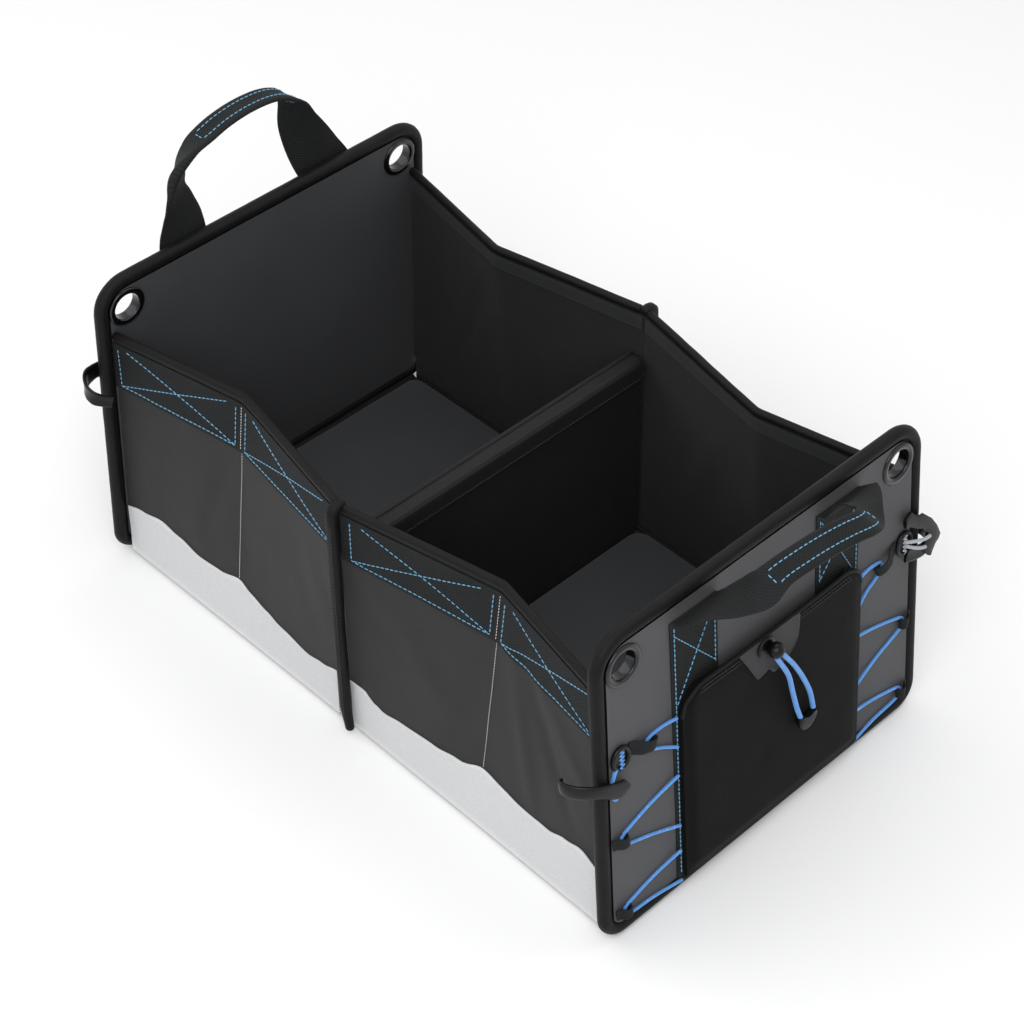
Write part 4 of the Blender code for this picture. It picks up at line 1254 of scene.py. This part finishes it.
def make_divider():
    """The padded board and its hem folded over the top, in near-black cloth with painted shade, and a
    dark rolled rim along the hem's rear edge that paints the shadow line behind the hem.
    """
    low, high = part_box("divider_board")

    def pad(p):
        rim = min(p.z - low.z, high.z - p.z, high.y - abs(p.y))
        swell = 0.0014 * smooth_share(rim / 0.03) + 0.0007 * noise.noise(Vector((p.y * 22, p.z * 22, 1)))
        return Vector((swell * (1 if p.x > 0 else -1) * (1 if abs(p.x) > 0.004 else 0), 0, 0))

    across, up = (low.y + 0.004, high.y - 0.004), (low.z + 0.004, high.z - 0.004)
    cuts = [planes(1, *across, 0.012), planes(2, *up, 0.012)]
    board = dressed_copy("divider_board", "divider_cloth_painted_shade", "divider", "divider_fabric", "divider", cuts,
                         lambda p: (p.y, p.z), pad)
    h_low, h_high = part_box("divider_top_hem")

    def hem(p):
        return Vector((0, 0, 0.0006 * noise.noise(Vector((p.y * 30, 0, 2)))))

    across, up = (h_low.y + 0.004, h_high.y - 0.004), (h_low.z + 0.003, h_high.z - 0.003)
    cuts = [planes(1, *across, 0.012), planes(2, *up, 0.005)]
    dressed_copy("divider_top_hem", "divider_hem", "divider", "divider_fabric", "divider", cuts,
                 lambda p: (p.y, p.z), hem)
    # A dark tube along the hem's rear edge: a painted shadow line behind the hem
    path = [(h_low.x + 0.0012, y, h_high.z - 0.0016)
            for y in levels_between(h_low.y + 0.002, h_high.y - 0.002, 0.008)]
    rim = tube("divider_shadow_rim", path, DIVIDER_SHADOW_RIM_R, "divider", up=(0, 0, 1))
    place(rim, "divider", "divider_fabric")
    for sign in (-1, 1):
        path = [(sign * (h_high.x + 0.0001), y, h_low.z + 0.0035)
                for y in levels_between(h_low.y + 0.006, h_high.y - 0.006, 0.006)]
        HEM.run(path, *HEM_STITCH)


make_floor()
make_floor_seams()
make_divider()


# Pouch, its patch and its ball
def corner_drop(over):
    """How far a rounded corner of the pouch has fallen away, at a distance past its start."""
    if over <= 0:
        return 0.0
    return POUCH_CORNER_R - math.sqrt(max(0.0, POUCH_CORNER_R ** 2 - over ** 2))


def pouch_half(z):
    """The pouch's half width, rounded in at its two top corners."""
    return POUCH_HALF_W - corner_drop(z - (POUCH_TOP - POUCH_CORNER_R))


def pouch_u(s, z):
    """How far the pouch's cloth stands out, at a share of its half width and a height."""
    side = 1 - smooth_share((abs(s) - 0.90) / 0.10)
    foot = smooth_share((z - POUCH_BOTTOM) / 0.014)
    mouth = 1 - 0.25 * smooth_share((z - POUCH_TOP + 0.03) / 0.03) * smooth_share((abs(s) - 0.4) / 0.4)
    stand = 0.0045 + (POUCH_OUT - POUCH_IN - 0.0045) * side * foot * mouth
    soft = 0.0006 * noise.noise(Vector((s * 3.2, z * 20, 6))) * side * foot
    return POUCH_IN + stand + soft


def on_pouch(s, z, lift, share=1.0):
    """A place over or under the pouch's face, at a share of its half width."""
    return on_panel("front", pouch_u(s, z) + lift, POUCH_MIDDLE + s * pouch_half(z) * share, z)


def make_pouch():
    """The pouch's cloth, the hem of its mouth and two rows of dark stitches."""
    low, high, uv = [], [], []
    for z in levels_between(POUCH_BOTTOM, POUCH_TOP - 0.0006, 0.0045):
        half = pouch_half(z)
        row = []
        for s in shares(52):
            if abs(s) < 0.985:
                row.append(on_pouch(s, z, -POUCH_SKIN, 0.992))
            else:
                row.append(on_panel("front", POUCH_IN + 0.0004, POUCH_MIDDLE + s * half, z))
        low.append(row)
        high.append([on_pouch(s, z, 0.0) for s in shares(52)])
        uv.append([(s * half, z) for s in shares(52)])
    pouch = slab("pouch_cloth", low, high, uv, "pouch", 60)
    place(pouch, "box", "pouch_fabric", "pouch")
    rim = []
    for s in shares(80):
        y = s * POUCH_HALF_W
        z = POUCH_TOP - corner_drop(abs(y) - (POUCH_HALF_W - POUCH_CORNER_R))
        out = pouch_u(s, min(z, POUCH_TOP - 0.001)) - 0.0008
        rim.append(on_panel("front", out, POUCH_MIDDLE + y, z - 0.0008))
    hem = tube("pouch_mouth_hem", rim, MOUTH_HEM_R, "binding", 8)
    place(hem, "box", "binding")
    for inset in (0.006, 0.0095):
        DARK.run([on_pouch(s, POUCH_TOP - inset, 0.0003) for s in shares(60)[3:58]], *MOUTH_STITCH)


# The closure patch's lower edge as (y, z) on the panel
PATCH_FOOT = [
    (-0.0437, 0.2204), (-0.0400, 0.2140), (-0.0350, 0.2050), (-0.0300, 0.1955), (-0.0255, 0.1870),
    (-0.0232, 0.1828), (-0.0210, 0.1826), (-0.0150, 0.1840), (-0.0090, 0.1852), (-0.0050, 0.1790),
    (-0.0028, 0.1772), (0.0005, 0.1778), (0.0080, 0.1810), (0.0164, 0.1854), (0.0210, 0.1905),
    (0.0247, 0.1970), (0.0264, 0.2070), (0.0270, 0.2180),
]


def make_patch():
    """The pale closure patch: a wide-topped tab with a raised edge."""
    top = POUCH_TOP - 0.0006
    low, high, uv = [], [], []
    for y, foot in PATCH_FOOT:
        heights = [top + (foot - top) * j / 18 for j in range(19)]
        side = min(y - PATCH_FOOT[0][0], PATCH_FOOT[-1][0] - y)
        row_l, row_h = [], []
        for z in heights:
            base = pouch_u(y / POUCH_HALF_W, z)
            edge = min(side, z - foot, 0.008)
            lift = 0.0009 * smooth_share(1 - abs(edge - 0.002) / 0.0025)
            row_l.append(on_panel("front", base + 0.0002, y, z))
            row_h.append(on_panel("front", base + 0.0014 + lift, y, z))
        low.append(row_l)
        high.append(row_h)
        uv.append([(y, z) for z in heights])
    patch = slab("closure_tab", low, high, uv, "patch", 60)
    place(patch, "box", "patch", "closure_patch")


def make_washer():
    """The dished washer under the ball."""
    profile = [(0.0001, -0.0012), (0.0090, -0.0012), (0.0100, -0.00024),
               (0.0094, 0.00084), (0.0070, 0.00132), (0.0001, 0.00132)]
    u, y, z = BALL
    base = pouch_u(y / POUCH_HALF_W, z)
    matrix = panel_matrix("front", base + 0.0030, y - 0.003, z + 0.0005)
    washer = lathe("toggle_washer", profile, 32, "plastic", matrix, False)
    place(weld(washer), "box", "plastic")


def make_ball():
    """A round toggle with a moulding line, and its neck into the patch."""
    u, y, z = BALL
    profile = []
    for i in range(25):
        a = math.pi * i / 24
        r = BEAD_R * math.sin(a)
        seam = 0.0002 * math.exp(-((a - math.pi / 2) / 0.06) ** 2)
        profile.append((max(0.00005, r + seam), BEAD_R * math.cos(a)))
    matrix = panel_matrix("front", u, y, z)
    ball = weld(lathe("toggle_bead", profile, 40, "plastic", matrix, False))
    place(ball, "box", "plastic", "toggle_ball")
    base = pouch_u(y / POUCH_HALF_W, z)
    ends = [on_panel("front", base + 0.001, y, z), on_panel("front", u - 0.004, y, z)]
    neck = tube("toggle_neck", ends, NECK_R, "plastic", 16)
    place(neck, "box", "plastic")


make_pouch()
make_patch()
make_washer()
make_ball()


# Lacing: three runs on each side between the pouch's edge and the tabs
LACE_R = 0.0014
TAB_W = 0.0125
# A tab's side view: share of its run and height over the panel
TAB_PROFILE = [
    (0.0, 0.0), (0.3, 0.0010), (0.55, 0.0044), (0.8, 0.0062), (1.02, 0.0062), (1.22, 0.0048),
    (1.3, 0.0022), (1.16, 0.0004), (0.95, 0.0),
]
LACE_RUNS = [
    [
        (0.1085, 0.1975), (0.1210, 0.1973), (0.1340, 0.1970), (0.1398, 0.1945), (0.1402, 0.1895),
        (0.1350, 0.1822), (0.1220, 0.1742), (0.1085, 0.1662),
    ],
    [
        (0.1085, 0.1345), (0.1360, 0.1255), (0.1630, 0.1165), (0.1712, 0.1120), (0.1722, 0.1062),
        (0.1660, 0.1000), (0.1370, 0.0885), (0.1085, 0.0775),
    ],
    [
        (0.1085, 0.0480), (0.1360, 0.0410), (0.1630, 0.0340), (0.1718, 0.0300), (0.1726, 0.0246),
        (0.1650, 0.0192), (0.1370, 0.0158), (0.1085, 0.0128),
    ],
]
# The lacing's tabs: start and end as (y, z), y out from the middle
TABS = [
    ((0.1600, 0.1995), (0.1395, 0.1925)),
    ((0.1812, 0.1080), (0.1712, 0.1090)),
    ((0.1812, 0.0265), (0.1714, 0.0272)),
]


def lace_u(y):
    """The cord's middle: over the strip's margin by the pouch, then down on the panel's cloth."""
    return 0.0062 + 0.0024 * (1 - smooth_share((y - 0.110) / 0.012))


def make_lacing(side):
    """Three runs of cord and the tabs that hold their turns."""
    sign = -1 if side == "near" else 1
    for number, run in enumerate(LACE_RUNS, 1):
        path = catmull([Vector((lace_u(y), sign * y, z)) for y, z in run], 6)
        cord = tube(f"{side}_lacing_{number}", [on_panel("front", *p) for p in path], LACE_R, "elastic")
        place(cord, "box", "elastic", *([side + "_lace"] if number == 1 else []))
    for number, ((y0, z0), (y1, z1)) in enumerate(TABS, 1):
        start, stop = Vector((0.0055, sign * y0, z0)), Vector((0.0055, sign * y1, z1))
        lace_tab(f"{side}_tab_{number}", f"{side}_lace_tab_{number}", start, stop)


def lace_tab(name, node, start, stop):
    """A short loop of black tape that comes from the panel's edge and holds a turn of the lacing."""
    ahead = (stop - start).normalized()
    across = Vector((0, -ahead.z, ahead.y))
    run = (stop - start).length + 0.001
    stations = []
    for share, lift in TAB_PROFILE:
        p = start + ahead * run * share + Vector((lift, 0, 0))
        middle = on_panel("front", *p)
        tip = on_panel("front", *(p + across))
        stations.append((middle, tip - middle, TAB_W * (1 if share < 0.8 else 0.85), TAB_T))
    place(strap(name, strap_rows(stations, 4), "webbing"), "box", "webbing", node)
    sewn = start + ahead * run * 0.3 + Vector((0.001, 0, 0))
    DARK.run([on_panel("front", *(sewn + across * TAB_W * w)) for w in (-0.4, 0.4)], *TAB_STITCH)


make_lacing("near")
make_lacing("far")


# Tie-down hooks
RING_Y = 0.1686
RING_Z = 0.197
RING_HALF_W = 0.0085
RING_HALF_H = 0.0105
# Each hook's arm: its middle as (u, y, z), y out from the middle, then its lean and its width
HOOK_ARMS = {
    "front_near": [
        (0.0092, 0.1640, 0.1665, 0.35, 0.0040), (0.0095, 0.1700, 0.168, 0.35, 0.0150),
        (0.0098, 0.1780, 0.171, 0.35, 0.0150), (0.0096, 0.1890, 0.178, 0.2, 0.0125),
        (0.0070, 0.1985, 0.182, 0.1, 0.0125), (0.0010, 0.2070, 0.184, 0, 0.0130),
        (-0.0080, 0.2120, 0.184, 0, 0.0130), (-0.0150, 0.2125, 0.184, 0, 0.0125),
        (-0.0178, 0.2090, 0.184, 0, 0.0110),
    ],
    "front_far": [
        (0.0085, 0.1700, 0.184, 0, 0.0130), (0.0090, 0.1800, 0.181, 0, 0.0140),
        (0.0085, 0.1930, 0.178, 0, 0.0140), (0.0035, 0.2050, 0.177, 0, 0.0140),
        (-0.0060, 0.2115, 0.177, 0, 0.0140), (-0.0150, 0.2110, 0.177, 0, 0.0130),
        (-0.0200, 0.2050, 0.176, 0, 0.0120),
    ],
    "back_near": [
        (0.0085, 0.1680, 0.219, 0, 0.0140), (0.0090, 0.1800, 0.220, 0, 0.0150),
        (0.0085, 0.1930, 0.221, 0, 0.0170), (0.0035, 0.2050, 0.222, 0, 0.0200),
        (-0.0060, 0.2115, 0.221, 0, 0.0180), (-0.0150, 0.2110, 0.218, 0, 0.0150),
        (-0.0205, 0.2050, 0.214, 0, 0.0120), (-0.0250, 0.1985, 0.212, 0, 0.0110),
    ],
    "back_far": [
        (0.0085, 0.1680, 0.176, 0, 0.0140), (0.0090, 0.1800, 0.176, 0, 0.0150),
        (0.0085, 0.1930, 0.177, 0, 0.0150), (0.0035, 0.2050, 0.178, 0, 0.0160),
        (-0.0060, 0.2115, 0.178, 0, 0.0150), (-0.0150, 0.2110, 0.177, 0, 0.0140),
        (-0.0200, 0.2050, 0.176, 0, 0.0120),
    ],
}
# The flat claw that lies on the far front hook: its outer and inner edge as (y, z) on the panel
CLAW_U = 0.0105
CLAW = [
    ((0.1637, 0.2282), (0.1642, 0.2184)), ((0.1708, 0.2321), (0.1708, 0.2160)),
    ((0.1813, 0.2202), (0.1800, 0.2085)), ((0.1879, 0.2197), (0.1886, 0.2031)),
    ((0.1983, 0.2089), (0.1929, 0.1975)), ((0.2061, 0.1968), (0.1940, 0.1940)),
    ((0.2114, 0.1844), (0.1927, 0.1899)), ((0.2095, 0.1800), (0.1909, 0.1870)),
    ((0.2055, 0.1772), (0.1891, 0.1840)), ((0.2024, 0.1722), (0.1882, 0.1805)),
    ((0.2001, 0.1675), (0.1955, 0.1700)),
]
# Elastic between the ring and its hook: points as (u, y, z), y out from the middle
HOOK_TIES = {
    "front_near": [
        [
            (0.0075, 0.1750, 0.190), (0.0070, 0.1775, 0.184), (0.0060, 0.1790, 0.174),
            (0.0070, 0.1795, 0.163), (0.0080, 0.1775, 0.160), (0.0085, 0.1760, 0.164),
        ],
    ],
    "front_far": [
        [
            (0.0085, 0.1690, 0.199), (0.0125, 0.1770, 0.1975), (0.0142, 0.1860, 0.1950),
            (0.0135, 0.1945, 0.1930),
        ],
        [
            (0.0085, 0.1690, 0.195), (0.0125, 0.1760, 0.1910), (0.0142, 0.1830, 0.1875),
            (0.0130, 0.1895, 0.1840),
        ],
    ],
    "back_near": [
        [
            (0.0080, 0.1690, 0.205), (0.0110, 0.1800, 0.209), (0.0120, 0.1900, 0.212),
            (0.0095, 0.1990, 0.214),
        ],
    ],
    "back_far": [
        [
            (0.0080, 0.1690, 0.192), (0.0105, 0.1790, 0.184), (0.0110, 0.1880, 0.180),
            (0.0090, 0.1960, 0.178),
        ],
    ],
}


def make_claw():
    """A flat pointed slab, crowned between its two edges."""
    low, high, uv = [], [], []
    for (y0, z0), (y1, z1) in CLAW:
        points = [(y0 + (y1 - y0) * j / 6, z0 + (z1 - z0) * j / 6) for j in range(7)]
        half = [CLAW_HALF_T + 0.0008 * smooth_share(min(j, 6 - j) / 1.5) for j in range(7)]
        low.append([on_panel("front", CLAW_U - h, y, z) for (y, z), h in zip(points, half)])
        high.append([on_panel("front", CLAW_U + h, y, z) for (y, z), h in zip(points, half)])
        uv.append(points)
    place(slab("front_far_hook_claw", low, high, uv, "plastic", 40), "box", "plastic")


def make_ring(end, name, sign):
    """A ridged oval ring on the panel."""
    oval = []
    for i in range(40):
        a = math.tau * i / 40
        y, z = RING_Y + RING_HALF_W * math.cos(a), RING_Z + RING_HALF_H * math.sin(a)
        oval.append(on_panel(end, 0.0066, sign * y, z))

    def ridged(t):
        return RING_R * (1 + 0.08 * math.sin(t * math.tau * 20))

    ring = tube(name + "_ring", oval, ridged, "plastic", closed=True, up=(1, 0, 0))
    place(ring, "box", "plastic", name + "_hook_ring")


def make_hook(end, side):
    """A flat hook wrapped round the piping, its ring on the panel and the elastic that ties them."""
    sign = -1 if side == "near" else 1
    name = f"{end}_{side}"
    stations = []
    for u, y, z, lean, width in HOOK_ARMS[name]:
        middle = on_panel(end, u, sign * y, z)
        tip = on_panel(end, u, sign * (y + lean), z + 1)
        stations.append((middle, tip - middle, width, HOOK_T))
    arm = strap(name + "_hook_arm", strap_rows(stations, 6), "plastic", 0.0007)
    place(arm, "box", "plastic", name + "_hook")
    if name == "front_far":
        make_claw()
    make_ring(end, name, sign)
    cloth = "grey_elastic" if side == "far" else "elastic"
    zigzag = [(0.0022 * (-1) ** i, 0.0105 - 0.0021 * i) for i in range(11)]
    path = catmull([on_panel(end, 0.0080, sign * (RING_Y - y), RING_Z + z) for y, z in zigzag], 4)
    lash = tube(name + "_lashing", path, LASHING_R, cloth, 8)
    place(lash, "box", "elastic")
    for number, points in enumerate(HOOK_TIES[name], 1):
        path = catmull([on_panel(end, u, sign * y, z) for u, y, z in points], 6)
        tie = tube(f"{name}_tie_{number}", path, TIE_R, cloth, 10)
        place(tie, "box", "elastic")


for which in ("front", "back"):
    for beside in ("near", "far"):
        make_hook(which, beside)

for stitches in [*BLUE.values(), WHITE, DARK, HEM]:
    stitches.make()


# Stage, light and world
def make_stage():
    """A plain pale floor just under the box."""
    mesh = bpy.data.meshes.new("floor")
    corners = [(-6, -6, -0.0015), (6, -6, -0.0015), (6, 6, -0.0015), (-6, 6, -0.0015)]
    mesh.from_pydata(corners, [], [(0, 1, 2, 3)])
    mat = bpy.data.materials.new("floor_white")
    mat.use_nodes = True
    shader = mat.node_tree.nodes["Principled BSDF"]
    shader.inputs["Base Color"].default_value = (0.9, 0.9, 0.9, 1)
    shader.inputs["Roughness"].default_value = 0.9
    mesh.materials.append(mat)
    link_new("floor", mesh)


def area_light(name, size, energy, location, target):
    data = bpy.data.lights.new(name, "AREA")
    data.shape, data.size, data.energy = "SQUARE", size, energy
    light = link_new(name, data)
    light.location = location
    light.rotation_euler = (Vector(target) - Vector(location)).to_track_quat("-Z", "Y").to_euler()


def make_world():
    """Even light, and plain white wherever the camera, a gloss or glass sees the background."""
    world = bpy.data.worlds.new("studio")
    bpy.context.scene.world = world
    world.use_nodes = True
    nodes, links = world.node_tree.nodes, world.node_tree.links
    background = nodes["Background"]
    path = nodes.new("ShaderNodeLightPath")
    first, second = nodes.new("ShaderNodeMath"), nodes.new("ShaderNodeMath")
    first.operation = second.operation = "MAXIMUM"
    links.new(path.outputs["Is Camera Ray"], first.inputs[0])
    links.new(path.outputs["Is Glossy Ray"], first.inputs[1])
    links.new(first.outputs[0], second.inputs[0])
    links.new(path.outputs["Is Transmission Ray"], second.inputs[1])
    strength = nodes.new("ShaderNodeMix")
    links.new(second.outputs[0], strength.inputs[0])
    strength.inputs[2].default_value = 0.55
    strength.inputs[3].default_value = 1.0
    links.new(strength.outputs[0], background.inputs["Strength"])
    background.inputs["Color"].default_value = (1, 1, 1, 1)


make_stage()
area_light("key", 2.2, 52, (1.3, -1.6, 2.4), (0, 0, 0.1))
area_light("fill", 2.5, 22, (-1.8, -1.0, 2.0), (0, 0, 0.1))
area_light("top", 2.0, 18, (0.2, 0.9, 2.6), (0, 0, 0.1))
make_world()
bpy.context.scene.view_settings.view_transform = "Standard"
